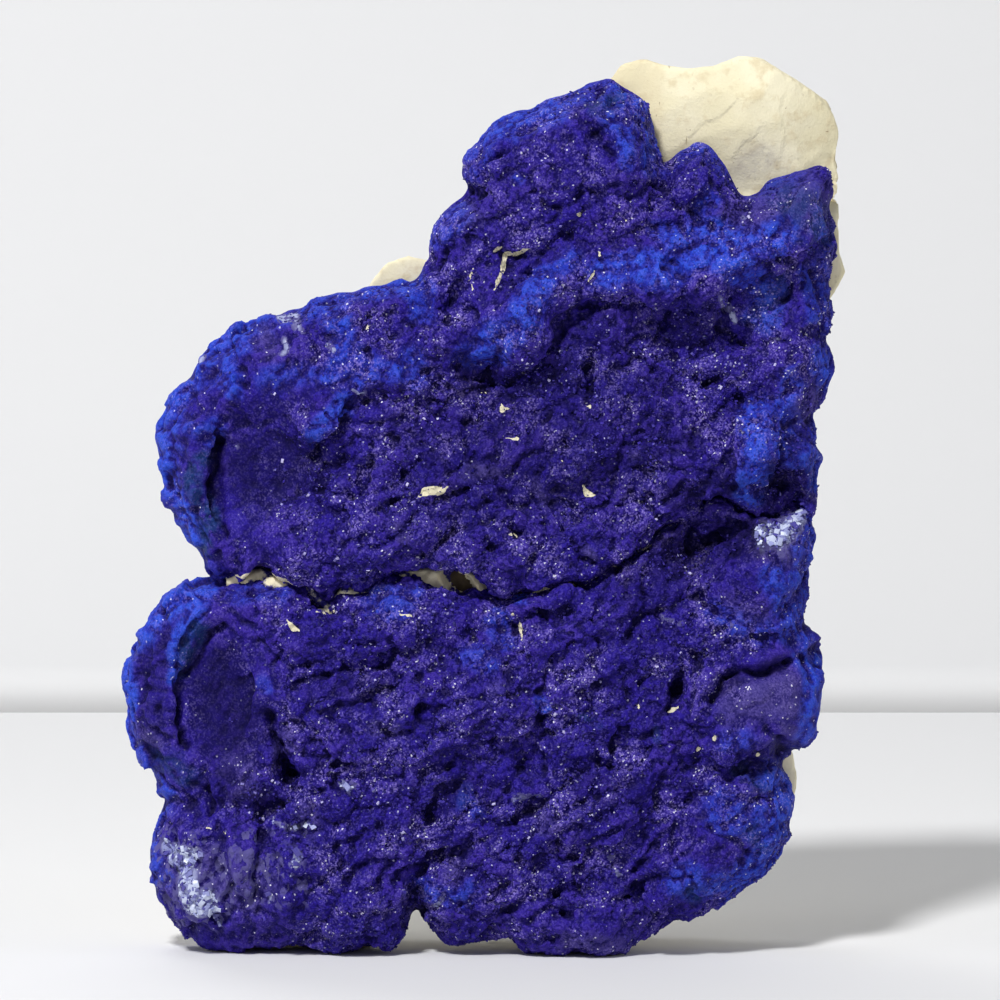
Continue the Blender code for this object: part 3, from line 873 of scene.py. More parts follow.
@dataclass(frozen=True)
class Ledge:
    """A step along a run of points: what lies on its left stands proud of what lies on its right."""

    height: float
    reach: float
    run: Run
    foot_reach: float = 0.8
    foot_share: float = 0.55
    taper: float = 1.6

    def lift(self, points: Array) -> Array:
        """Return the height added at each point."""
        away, side, place = along_run(points, self.run)
        high = smoothstep(away * side, -0.25, 0.20)
        top = high * np.exp(-away / self.reach)
        foot = (1.0 - high) * np.exp(-away / self.foot_reach)
        return self.height * smoothstep(place, 0.0, self.taper) * (top - self.foot_share * foot)


@dataclass(frozen=True)
class Fleck:
    """A bit of pale clay that shows in a crack."""

    width: float
    run: Run
    sink: float = 0.6

    def away(self, points: Array) -> Array:
        """Return the distance to the bit's middle line, in its own widths."""
        if len(self.run) == 1:
            return np.hypot(*(points - self.run[0]).T) / self.width
        away, _, place = along_run(points, self.run)
        return away / (self.width * (0.25 + 0.85 * smoothstep(place, 0.0, 1.3)))

    def lift(self, points: Array) -> Array:
        """Return the height added at each point."""
        return -self.sink * np.exp(-((self.away(points) * 0.7) ** 2))


@dataclass(frozen=True)
class Patch:
    """A soft-edged zone that shows one surface."""

    half_width: float
    strength: float
    run: Run
    surface: Surface

    def share(self, points: Array) -> Array:
        """Return how strongly the zone shows at each point."""
        if len(self.run) == 1:
            away = np.hypot(*(points - self.run[0]).T)
        else:
            away = run_distance(points, self.run)
        return self.strength * (1.0 - smoothstep(away, self.half_width * 0.35, self.half_width * 1.5))


@dataclass(frozen=True)
class Fan:
    """A half-round sun of blades: fine ribs that spread from a middle."""

    x: float
    z: float
    radius: float
    toward: float
    spread: float
    rib: float
    dish: float
    rib_length: float = 8.0
    terrace: float = 3.0
    drop_from: float = 0.86
    scales: Grains = Grains(2.8, step=0.8, tilt=0.42, stretch=(1.8, 1.0, 1.0))

    def polar(self, points: Array) -> tuple[Array, Array]:
        """Return each point's distance from the middle and its direction from it, in radians."""
        across = points - (self.x, self.z)
        return np.hypot(*across.T), np.arctan2(across[:, 1], across[:, 0])

    def share(self, points: Array) -> Array:
        """Return how strongly the fan's ribs show at each point."""
        away, angle = self.polar(points)
        off = np.abs((np.degrees(angle) - self.toward + 180.0) % 360.0 - 180.0)
        inner = smoothstep(away, self.radius * 0.22, self.radius * 0.55)
        return inner * (1.0 - smoothstep(off, self.spread * 0.75, self.spread))

    def ribs(self, points: Array) -> Array:
        """Return the height of the fine ribs, about -1 to 1."""
        away, angle = self.polar(points)
        arc = angle * self.radius / self.rib
        own = np.full(len(points), self.x)
        return cloud(np.column_stack([arc, away / (self.rib * self.rib_length), own]), 1.0, 31, 2)

    def rim(self, points: Array) -> Array:
        """Return 0 in the smooth dish and 1 on the rim round it."""
        return smoothstep(self.polar(points)[0], self.dish - 0.6, self.dish + 1.2)

    def blades(self, points: Array, seed: int) -> Array:
        """Return shells that follow the rim and overlap outwards, about -1 to 1."""
        away, angle = self.polar(points)
        bent = cloud(np.column_stack([points, np.ones(len(points))]), 5.0, seed, 3)
        step = saw(away / self.terrace + bent * 0.7, self.drop_from)
        flat = np.column_stack([angle * self.radius, away, np.full(len(points), self.z)])
        return 0.8 * (step - 0.5) + self.scales.height(flat, seed + 1)


Form = Union[Swell, Crease, Crack, Ledge]
Finish = Union[AzuriteFinish, CrystalFinish, ClayFinish]


class Piece:
    """What each piece of the specimen has, and how it is dressed once it is built."""

    name: str
    node: Optional[str]
    slot: str
    finish: Finish
    piece: Optional[bpy.types.Object]

    def dress(self) -> None:
        """Give the piece its finish and tie it to the frame."""
        self.piece.data.materials.clear()
        self.piece.data.materials.append(self.finish.material())
        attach(self.piece, "root")
        if self.node is not None:
            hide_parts(self.node)


# ---------------------------------------------------------------- azurite


@dataclass
class Growth(Piece):
    """One azurite growth: a lumpy drusy front on a plain back that lies against the stone."""

    name: str
    node: str
    slot: str
    edge: Run
    seam: Run
    swells: Sequence[Swell]
    creases: Sequence[Crease]
    details: Sequence[Form]
    smooth: Sequence[tuple[float, float, float, float, float]]
    fans: Sequence[Fan]
    patches: Sequence[Patch]
    flecks: Sequence[Fleck]
    finish: AzuriteFinish
    seed: int
    crust: float = 6.8
    wall: float = 2.0
    sole_wall: float = 2.6
    sole_rise: float = 2.2
    rim_radius: float = 4.4
    seam_radius: float = 1.6
    seam_blend: tuple[float, float] = (-24.0, -6.0)
    bead_field: tuple[Point, Point] = ((-50.0, -6.0), (52.0, 118.0))
    bead_pitch: float = 5.4
    bead_shift: float = 1.5
    bead_reach: float = 0.78
    bead_mean: float = 0.45
    bead_height: float = 1.5
    step: float = 0.62
    back_step: float = 2.6
    first_voxel: float = 0.36
    voxel: float = 0.29
    shingle_pitch: float = 4.6
    shingle_turn: float = 34.0
    shingle_drop_from: float = 0.80
    shingle_height: float = 0.65
    clumps: Grains = Grains(5.4, dome=0.8, step=0.6, tilt=0.19, cleft=0.55, stretch=(1.5, 1.0, 0.9))
    plates: Grains = Grains(3.8, step=0.60, tilt=0.30, cleft=0.14, stretch=(1.0, 1.0, 1.5))
    chunks: Grains = Grains(2.5, dome=0.26, step=0.22, tilt=0.17, cleft=0.18, stretch=(1.35, 1.0, 0.9))
    crystals: Grains = Grains(0.95, step=0.07, tilt=0.21, cleft=0.03)
    grit: Grains = Grains(0.50, step=0.03, tilt=0.18)
    plate_seed: int = 61
    fibre_height: float = 0.045
    rim_azure: float = 0.6
    most_triangles: int = 192000
    trim: float = 0.30
    ragged: float = 0.40
    piece: Optional[bpy.types.Object] = field(default=None, init=False)

    def beads(self, points: Array) -> Array:
        """Return the height of the large rounded beads at each point."""
        random = np.random.default_rng(SEED)
        low, high = self.bead_field
        columns = np.arange(low[0], high[0], self.bead_pitch)
        rows = np.arange(low[1], high[1], self.bead_pitch * 0.87)
        centres = np.array([
            (x + (n % 2) * self.bead_pitch / 2.0, z) for n, z in enumerate(rows) for x in columns])
        centres += random.uniform(-self.bead_shift, self.bead_shift, centres.shape)
        sizes = random.uniform(0.3, 1.0, len(centres))
        low, high = points.min(axis=0) - self.bead_pitch, points.max(axis=0) + self.bead_pitch
        height = np.zeros(len(points))
        for centre, size in zip(centres, sizes):
            if (centre > low).all() and (centre < high).all():
                away = np.hypot(*(points - centre).T) / (self.bead_pitch * self.bead_reach)
                dome = np.sqrt(np.clip(1.0 - away * away, 0.0, 1.0))
                height = np.maximum(height, size * dome)
        return self.bead_height * (height - self.bead_mean)

    def rough_share(self, points: Array) -> Array:
        """Return 1 where beads and druse show and 0 in the silky places."""
        share = np.ones(len(points))
        for x, z, length, breadth, strength in self.smooth:
            away = np.hypot((points[:, 0] - x) / length, (points[:, 1] - z) / breadth)
            share = np.minimum(share, 1.0 - strength * (1.0 - smoothstep(away, 0.70, 1.15)))
        return share

    @staticmethod
    def rounded(away: Array, radius: Any) -> Array:
        """Return the rise, 0 to 1, of an edge rounded to a radius or to one for each point."""
        near = np.clip(away / radius, 0.0, 1.0)
        return np.sqrt(np.clip(1.0 - (1.0 - near) ** 2, 0.0, 1.0))

    def wall_height(self, points: Array) -> Array:
        """Return the height of the side wall, deeper where the growth rests on the ground."""
        sole = np.clip(1.0 - points[:, 1] / self.sole_rise, 0.0, 1.0)
        return self.wall + self.sole_wall * sole

    def outer_edge(self) -> Run:
        """Return the growth's edge away from the seam, from end to end."""
        return [self.seam[-1], *self.edge, self.seam[0]]

    def front(self, points: Array) -> Array:
        """Return the depth of the front face, in millimetres."""
        start, end = self.seam_blend
        part = np.clip((points[:, 0] - start) / (end - start), 0.0, 1.0)
        radius = self.rim_radius + (self.seam_radius - self.rim_radius) * part
        rise = np.minimum(
            self.rounded(run_distance(points, self.outer_edge()), self.rim_radius),
            self.rounded(run_distance(points, self.seam), radius))
        body = np.full(len(points), self.crust - self.wall)
        for form in (*self.swells, *self.creases):
            body += form.lift(points)
        body += self.beads(points) * self.rough_share(points)
        return bow(points) - self.wall_height(points) - rise * np.clip(body, 0.4, None)

    def block(self) -> bpy.types.Object:
        """Make the closed body before its druse."""
        loop = smooth_loop([*self.seam, *self.edge], self.step)
        away = smoothstep(run_distance(loop, self.seam), 1.0, 3.0) * smoothstep(loop[:, 1], 0.5, 2.0)
        deep = np.column_stack([loop, np.zeros(len(loop))])
        wave = np.column_stack([cloud(deep, 2.4, self.seed + 20 + axis, 2) for axis in (0, 1)])
        loop = loop + wave * away[:, None] * self.ragged
        loop[loop[:, 1] < 0.22, 1] = 0.0
        front = hex_fill(loop, self.step, self.step * 0.5)
        back = hex_fill(loop, self.back_step, self.back_step * 0.5)
        count = len(loop)
        depths = [bow(loop) - self.wall_height(loop), bow(loop), self.front(front), bow(back)]
        flats = [loop, loop, front, back]
        corners = np.vstack([
            np.column_stack([flat[:, 0], depth, flat[:, 1]]) for flat, depth in zip(flats, depths)])
        faces = [(i, (i + 1) % count, count + (i + 1) % count, count + i) for i in range(count)]
        for extra, ring, start in ((front, 0, 2 * count), (back, count, 2 * count + len(front))):
            for face in sheet_faces(loop, extra):
                faces.append([ring + i if i < count else start + i - count for i in face])
        piece = new_piece(self.name, corners, faces)
        orient(piece.data)
        remesh(piece, self.first_voxel)
        return piece

    def fan_share(self, flat: Array) -> Array:
        """Return where a fan's blades show."""
        return strongest([fan.share(flat) for fan in self.fans], len(flat))

    def dishes(self, flat: Array) -> Array:
        """Return 1 in the smooth dish of a fan and 0 elsewhere."""
        shares = [fan.share(flat) * (1.0 - fan.rim(flat)) for fan in self.fans]
        return strongest(shares, len(flat))

    def warp(self, points: Array, size: float) -> Array:
        """Return a soft random shift for each point, about -1 to 1 each way."""
        return np.column_stack([cloud(points, size, self.seed + 11 + axis, 2) for axis in range(3)])

    def shingles(self, points: Array) -> Array:
        """Return slanting ledges that rise to the lower right and then drop, about -0.5 to 0.5."""
        turn = math.radians(self.shingle_turn)
        across = points[:, 0] * math.sin(turn) - points[:, 2] * math.cos(turn)
        bent = cloud(points, 8.0, self.seed + 15, 3)
        step = saw(across / self.shingle_pitch + bent * 0.9, self.shingle_drop_from)
        return (step - 0.5) * smoothstep(cloud(points, 10.0, self.seed + 16, 2), -0.35, 0.45)

    def zone(self, surface: Surface, flat: Array) -> Array:
        """Return how strongly one surface shows at each point."""
        shown = [patch for patch in self.patches if patch.surface is surface]
        return strongest([patch.share(flat) for patch in shown], len(flat))

    def silk(self, flat: Array) -> Array:
        """Return 1 in the silky places and 0 on the druse."""
        silk = np.maximum(self.fan_share(flat), 1.0 - self.rough_share(flat))
        return np.maximum(silk, 0.55 * self.zone(Surface.AZURE, flat))

    def clumped(self, points: Array) -> Array:
        """Return the height of clumps, broken cells and shingles that run with the slant."""
        turn = math.radians(self.shingle_turn)
        slant = np.array([
            [math.cos(turn), 0.0, -math.sin(turn)], [0.0, 1.0, 0.0],
            [math.sin(turn), 0.0, math.cos(turn)]])
        bent = (points + self.warp(points, 5.0) * 1.1 + self.warp(points, 1.7) * 0.30) @ slant
        cells = self.clumps.height(bent, self.seed + 1) + self.chunks.height(bent, self.seed + 2)
        return cells + self.shingle_height * self.shingles(points)

    def carve(self, mesh: bpy.types.Mesh) -> None:
        """Raise clumps, ledges, cracks and blades out of the front."""
        points, normals = corners_of(mesh), normals_of(mesh)
        flat = points[:, [0, 2]]
        front = over_sheet(points)
        silk = self.silk(flat)
        lift = (1.0 - 0.80 * silk) * self.clumped(points)
        shells = self.plates.height(points + self.warp(points, 3.0) * 0.5, self.plate_seed)
        lift += silk * (1.0 - self.dishes(flat)) * shells
        off_seam = smoothstep(run_distance(flat, self.seam), 1.0, 4.0)
        lift -= self.trim * (1.0 - np.abs(normals[:, 1])) * off_seam
        bent = flat + self.warp(points, 2.6)[:, [0, 2]] * 0.42
        for form in (*self.details, *self.flecks):
            lift += form.lift(bent)
        for number, fan in enumerate(self.fans):
            share = fan.share(flat) * smoothstep(front, 1.6, 3.6) * (0.10 + 0.45 * fan.rim(flat))
            lift += share * fan.blades(flat, self.seed + 40 + 5 * number)
        lift *= smoothstep(front, 0.5, 2.0)
        set_corners(mesh, points + normals * lift[:, None])

    def grain(self, mesh: bpy.types.Mesh) -> None:
        """Raise the small crystals, grit and fine ribs."""
        points = corners_of(mesh)
        flat = points[:, [0, 2]]
        silk = self.silk(flat)
        druse = 1.0 - 0.85 * silk
        bent = points + self.warp(points, 1.8) * 0.25
        crystals = self.crystals.height(bent, self.seed + 3)
        lift = druse * (crystals + self.grit.height(points, self.seed + 4))
        lift += cloud(points, 2.6, self.seed + 5, 4) * (0.08 + 0.12 * druse)
        fibres = np.column_stack([flat @ (0.87, -0.5) / 0.5, flat @ (0.5, 0.87) / 4.0, points[:, 1]])
        lift += cloud(fibres, 1.0, self.seed + 6, 2) * silk * self.fibre_height
        for fan in self.fans:
            lift += fan.share(flat) * (0.05 + 0.07 * fan.rim(flat)) * fan.ribs(flat)
        lift *= smoothstep(over_sheet(points), 0.3, 1.3)
        set_corners(mesh, points + normals_of(mesh) * lift[:, None])

    def keep_in(self, mesh: bpy.types.Mesh) -> None:
        """Keep the front clear of the ground and the back flat against the stone."""
        points = corners_of(mesh)
        points[:, 2] = np.maximum(points[:, 2], 0.0)
        points[:, 1] = np.minimum(points[:, 1], bow(points[:, [0, 2]]))
        set_corners(mesh, points)

    def paint(self, mesh: bpy.types.Mesh) -> None:
        """Store the zones that the finish reads."""
        points = corners_of(mesh)
        flat = points[:, [0, 2]]
        face = smoothstep(over_sheet(points), 0.0, 0.8)
        wander = flat + self.warp(points, 4.0)[:, [0, 2]] * 1.3
        zones = {surface.value: self.zone(surface, wander) for surface in Surface}
        rim = 1.0 - smoothstep(run_distance(wander, self.outer_edge()), 0.4, 2.6)
        rim *= smoothstep(points[:, 2], 3.0, 12.0)
        rim *= smoothstep(cloud(points, 9.0, self.seed + 18, 2), -0.5, 0.4)
        zones["azure"] = np.maximum(zones["azure"], rim * self.rim_azure)
        crumbled = flat + self.warp(points, 1.3)[:, [0, 2]] * 0.30
        bits = [1.0 - 0.5 * fleck.away(crumbled) for fleck in self.flecks]
        zones["clay"] = strongest([zones["clay"], *bits], len(points))
        for name, values in zones.items():
            set_mask(mesh, name, values * face)
        set_mask(mesh, "silk", self.silk(flat) * face)
        # These masks carry painted light and shade: the finish lightens the crests and darkens the low places
        # and hollows.
        set_mask(mesh, "crest", smoothstep(relief(mesh, 12), -0.24, 0.24))
        set_mask(mesh, "hollow", smoothstep(-relief(mesh, 70), 0.08, 0.75) * face)

    def build(self) -> None:
        """Build the growth's mesh with its masks."""
        self.piece = self.block()
        self.carve(self.piece.data)
        self.keep_in(self.piece.data)
        remesh(self.piece, self.voxel)
        thin_out(self.piece, over_sheet(corners_of(self.piece.data)) < 0.12, 0.05)
        self.grain(self.piece.data)
        self.keep_in(self.piece.data)
        cap_triangles(self.piece, self.most_triangles)
        self.paint(self.piece.data)
        shade_by(self.piece.data, np.zeros(len(self.piece.data.vertices), bool))


@dataclass
class CrystalCoat(Piece):
    """Little wedge-ended crystals that stand on a growth, as one mesh."""

    name: str
    slot: str
    host: Growth
    finish: CrystalFinish
    count: int
    seed: int
    zone: Optional[Surface] = None
    width: tuple[float, float] = (0.14, 0.52)
    length: tuple[float, float] = (0.08, 0.26)
    lean: float = 0.55
    small_share: float = 2.2
    silver_sheen_from: float = 0.70
    node: Optional[str] = None
    piece: Optional[bpy.types.Object] = field(default=None, init=False)

    FACES = (
        (0, 1, 5, 4), (1, 2, 6, 5), (2, 3, 7, 6), (3, 0, 4, 7), (4, 5, 8), (6, 7, 9),
        (5, 6, 9, 8), (7, 4, 8, 9), (3, 2, 1, 0),
    )

    @staticmethod
    def crystal() -> Array:
        """Return the corners of one crystal of unit width and length."""
        ring = np.array([(-0.5, -0.32), (0.5, -0.32), (0.5, 0.32), (-0.5, 0.32)])
        low = np.column_stack([ring * 0.85, np.full(4, -0.35)])
        high = np.column_stack([ring, np.full(4, 0.62)])
        top = np.array([(0.0, -0.22, 1.0), (0.0, 0.22, 1.0)])
        return np.vstack([low, high, top])

    def spots(self, random: np.random.Generator) -> tuple[Array, Array, Array]:
        """Choose where crystals stand.

        Args:
            random: the source of choices.

        Returns:
            Their places in millimetres, the directions they stand along and how dense they are there.
        """
        mesh = self.host.piece.data
        points, normals = corners_of(mesh), normals_of(mesh)
        masks = {name: np.empty(len(points), np.float32) for name in ("silk", "silver_sheen", "hollow")}
        for name, values in masks.items():
            mesh.attributes[name].data.foreach_get("value", values)
        clump = smoothstep(cloud(points, 5.0, self.seed, 3), -0.25, 0.7)
        weight = smoothstep(over_sheet(points), 1.0, 2.2) * (0.06 + clump)
        weight *= (1.0 - 0.95 * masks["silk"]) * (1.0 - 0.8 * masks["hollow"])
        weight += 0.5 * masks["silver_sheen"]
        if self.zone is Surface.SILVER_SHEEN:
            weight = np.clip(masks["silver_sheen"] - self.silver_sheen_from, 0.0, 1.0)
        chosen = random.choice(len(points), self.count, replace=False, p=weight / weight.sum())
        return points[chosen], normals[chosen], clump[chosen]

    def build(self) -> None:
        """Build all crystals as one mesh, each with its own tint."""
        random = np.random.default_rng(self.seed)
        places, normals, clump = self.spots(random)
        shape = self.crystal()
        axis = normals + random.normal(0.0, self.lean, normals.shape)
        axis /= np.linalg.norm(axis, axis=1)[:, None]
        side = np.cross(axis, random.normal(0.0, 1.0, axis.shape))
        side /= np.linalg.norm(side, axis=1)[:, None]
        third = np.cross(axis, side)
        skew = random.random(self.count) ** self.small_share
        width = self.width[0] + (self.width[1] - self.width[0]) * skew
        length = self.length[0] + (self.length[1] - self.length[0]) * skew * random.random(self.count)
        corners = places[:, None, :] + (
            side[:, None, :] * (shape[None, :, 0:1] * width[:, None, None])
            + third[:, None, :] * (shape[None, :, 1:2] * width[:, None, None])
            + axis[:, None, :] * (shape[None, :, 2:3] * length[:, None, None]))
        corners = corners.reshape(-1, 3)
        corners[:, 2] = np.maximum(corners[:, 2], 0.0)
        size = len(shape)
        faces = [tuple(i + k * size for i in face) for k in range(self.count) for face in self.FACES]
        self.piece = new_piece(self.name, corners, faces)
        orient(self.piece.data)
        # Tints near the top of the range become painted glints in the finish.
        tint = random.random(self.count) * (0.80 + 0.25 * clump)
        set_mask(self.piece.data, "tint", np.repeat(tint, size))


# ---------------------------------------------------------------- clay


@dataclass
class Claystone(Piece):
    """The pale broken block that carries both growths."""

    name: str = "claystone_block"
    node: str = "claystone_matrix"
    slot: str = "claystone"
    voxel: float = 0.42
    stain: Patch = Patch(1.8, 0.6, ((31.6, 98.4), (34.5, 100.0)), Surface.GREY)
    # Flats of the bare corner: depth at flats_at, fall to the right and fall upwards.
    flats_at: Point = (30.0, 104.0)
    flats: tuple[Triple, ...] = (
        (1.20, 0.020, 0.030), (-1.52, -0.300, -0.020), (0.80, 0.220, -0.040), (-0.08, 0.080, 0.350),
        (1.10, 0.090, -0.170), (-3.97, 0.750, 0.000), (-0.30, -0.120, 0.290), (-0.90, 0.420, 0.160),
    )
    cracks: tuple[Run, ...] = (
        ((21.4, 108.6), (21.7, 107.4), (21.3, 105.0)),
        ((32.2, 106.9), (33.2, 108.2)),
        ((36.7, 104.9), (37.6, 106.5)),
        ((24.9, 101.4), (25.2, 102.8), (25.9, 103.8)),
        ((31.5, 103.6), (32.7, 104.7)),
        ((39.9, 101.4), (41.2, 102.6), (43.2, 103.1)),
        ((30.4, 99.6), (31.6, 98.8)),
        ((22.8, 111.6), (23.6, 110.6)),
    )
    ledges: tuple[Ledge, ...] = (
        Ledge(0.09, 1.8, ((24.4, 101.2), (26.8, 104.2), (29.0, 105.0), (31.6, 107.4))),
        Ledge(0.08, 1.6, ((36.4, 98.6), (37.4, 102.6), (36.6, 106.0), (37.6, 109.0))),
        Ledge(0.07, 1.4, ((30.2, 99.0), (32.0, 101.8), (33.6, 102.6), (34.4, 104.6))),
    )
    faces: Grains = Grains(9.0, tilt=1.0)
    chips: Grains = Grains(3.6, step=0.5, tilt=0.60, uneven=0.6)
    solid_gap: float = 0.3
    squeeze: float = 12.0
    fold_depth: float = 0.55
    crack_reach: float = 2.0
    most_triangles: int = 150000
    finish: ClayFinish = ClayFinish("claystone_pale_cream")
    seed: int = 411
    piece: Optional[bpy.types.Object] = field(default=None, init=False)

    def build(self) -> None:
        """Copy the solid, break its faces and store its zones."""
        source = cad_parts[self.node]
        self.piece = put_in_scene(self.name, source.data.copy())
        work = bmesh.new()
        work.from_mesh(self.piece.data)
        bmesh.ops.remove_doubles(work, verts=work.verts[:], dist=1e-6)
        work.to_mesh(self.piece.data)
        work.free()
        for layer in list(self.piece.data.attributes):
            if not layer.is_required and layer.name != "material_index":
                self.piece.data.attributes.remove(layer)
        remesh(self.piece, self.voxel)
        self.flatten(self.piece.data)
        remesh(self.piece, self.voxel)
        points = corners_of(self.piece.data)
        thin_out(self.piece, (over_sheet(points) > -0.6) & (self.bare(points) < 0.01), 0.04)
        self.roughen(self.piece.data)
        cap_triangles(self.piece, self.most_triangles)

    def bare(self, points: Array) -> Array:
        """Return 1 on the bare front corner and 0 elsewhere."""
        here = smoothstep(points[:, 2], 95.0, 97.5) * smoothstep(points[:, 0], 14.0, 17.0)
        return here * (1.0 - smoothstep(-over_sheet(points), 4.6, 6.0))

    def flatten(self, mesh: bpy.types.Mesh) -> None:
        """Cut the bare corner to its flats and squeeze the sides behind it to match."""
        points, normals = corners_of(mesh), normals_of(mesh)
        x, z = points[:, 0] - self.flats_at[0], points[:, 2] - self.flats_at[1]
        target = np.max([depth + right * x + up * z for depth, right, up in self.flats], axis=0)
        here = smoothstep(points[:, 2], 93.0, 96.0) * smoothstep(points[:, 0], 16.0, 20.5)
        front = bow(points[:, [0, 2]]) + self.solid_gap
        behind = np.clip(1.0 - (points[:, 1] - front) / self.squeeze, 0.0, 1.0)
        side = np.clip(target - front, 0.0, None) * behind
        face = np.clip(target - points[:, 1], 0.0, None)
        share = smoothstep(-normals[:, 1], 0.35, 0.75)
        points[:, 1] += (face * share + side * (1.0 - share)) * here
        set_corners(mesh, points)

    def roughen(self, mesh: bpy.types.Mesh) -> None:
        """Give the block broken facets, grain and cracks."""
        points, normals = corners_of(mesh), normals_of(mesh)
        flat = points[:, [0, 2]]
        bare = self.bare(points)
        behind = smoothstep(-over_sheet(points), 1.2, 3.6) * (1.0 - bare)
        flats = self.faces.height(points, self.seed) + self.chips.height(points, self.seed + 1)
        soft = cloud(points, 6.0, self.seed + 2, 4)
        fine = cloud(points, 1.4, self.seed + 3, 3)
        lift = behind * (0.42 * np.clip(flats, -1.6, 1.6) + 0.20 * soft + 0.09 * fine - 0.35)
        folds = -self.fold_depth * np.abs(cloud(points, 9.0, self.seed + 12, 1))
        steps = sum(ledge.lift(flat) for ledge in self.ledges)
        facing = bare * smoothstep(-normals[:, 1], 0.3, 0.7)
        lift += facing * (folds + 0.02 * soft + 0.02 * fine + steps)
        wander = np.column_stack([cloud(points, 2.0, seed, 2) for seed in (5, 6)]) * 0.25
        near = [1.0 - run_distance(flat + wander, run) / self.crack_reach for run in self.cracks]
        split = strongest(near, len(points))
        lift *= smoothstep(points[:, 2], 0.2, 2.5)
        points = points + normals * lift[:, None]
        points[:, 2] = np.maximum(points[:, 2], 0.0)
        set_corners(mesh, points)
        back_blue = smoothstep(cloud(points, 9.0, self.seed + 9, 4), 0.30, 1.10) * behind * 0.8
        set_mask(mesh, "stain", self.stain.share(flat + wander))
        set_mask(mesh, "crack", split * bare)
        set_mask(mesh, "aged", smoothstep(-points[:, 0], -22.4, -21.6) * bare * 0.8 + behind * 0.4)
        set_mask(mesh, "blue", back_blue)
        shade_by(mesh, bare < 0.5)


@dataclass
class SeamClay(Piece):
    """The clay that fills the seam between the two growths, with gaps."""

    name: str = "seam_clay"
    node: Optional[str] = None
    slot: str = "claystone"
    drop: float = 0.45
    half_height: float = 0.75
    growth: float = 0.62
    depth: float = 3.4
    bulge: float = 0.8
    step: float = 0.24
    turns: int = 28
    spare_ends: int = 8
    hollow_at: Point = (-3.3, 47.1)
    hollow_half: Point = (3.0, 1.5)
    hollow_turn: float = -40.0
    hollow_depth: float = 2.4
    # Painted shade: on the seam clay the rust colour is near-black and fills the hollow of the widest
    # opening.
    finish: ClayFinish = ClayFinish(
        "claystone_seam_cream", cream=(0.74, 0.66, 0.47), rust=(0.045, 0.026, 0.014), crack_and_shade_share=0.96)
    seed: int = 523
    piece: Optional[bpy.types.Object] = field(default=None, init=False)

    def centre(self) -> Array:
        """Return the seam's middle line at even steps."""
        line = np.array(SEAM)
        return places_at(line, np.arange(0.0, lengths_along(line)[-1], self.step))

    def hollow(self, points: Array) -> Array:
        """Return 1 in the dark hollow of the widest opening and 0 elsewhere."""
        along, across = turned_by(points[:, [0, 2]], self.hollow_at, self.hollow_turn)
        away = np.hypot(along / self.hollow_half[0], across / self.hollow_half[1])
        return smoothstep(1.0 - away, 0.0, 0.30)

    def build(self) -> None:
        """Sweep a lumpy band along the seam."""
        middle = self.centre()[self.spare_ends:-self.spare_ends]
        turns = np.linspace(0.0, 2.0 * math.pi, self.turns, endpoint=False)
        extra = seam_drop(middle[:, 0])[:, None]
        half = (self.depth + self.bulge * np.minimum(extra, 1.0)) * 0.5
        high = self.half_height + extra * self.growth
        x, z = middle[:, 0:1], middle[:, 1:2]
        corners = np.stack([
            np.repeat(x, len(turns), axis=1), bow(middle)[:, None] - half - np.cos(turns) * half,
            z - self.drop - extra * 0.5 + np.sin(turns) * high], axis=2).reshape(-1, 3)
        hollow = self.hollow(corners)
        corners[:, 1] += cloud(corners, 2.6, self.seed, 3) * 0.9 + hollow * self.hollow_depth
        size, count = len(turns), len(middle)
        faces = [
            (r * size + i, r * size + (i + 1) % size, (r + 1) * size + (i + 1) % size,
             (r + 1) * size + i) for r in range(count - 1) for i in range(size)]
        faces += [tuple(range(size)), tuple(range((count - 1) * size, count * size))]
        self.piece = new_piece(self.name, corners, faces)
        orient(self.piece.data)
        speckled = smoothstep(cloud(corners, 3.2, self.seed + 3, 3), -0.1, 0.5)
        bare = np.zeros(len(corners))
        set_mask(self.piece.data, "stain", bare)
        # Painted shade: the crack mask here darkens the hollow of the widest opening.
        set_mask(self.piece.data, "crack", hollow)
        set_mask(self.piece.data, "aged", bare)
        set_mask(self.piece.data, "blue", np.maximum(speckled, smoothstep(corners[:, 0], 14.0, 16.0)))
        shade_by(self.piece.data, np.ones(len(corners), bool))


# ---------------------------------------------------------------- studio


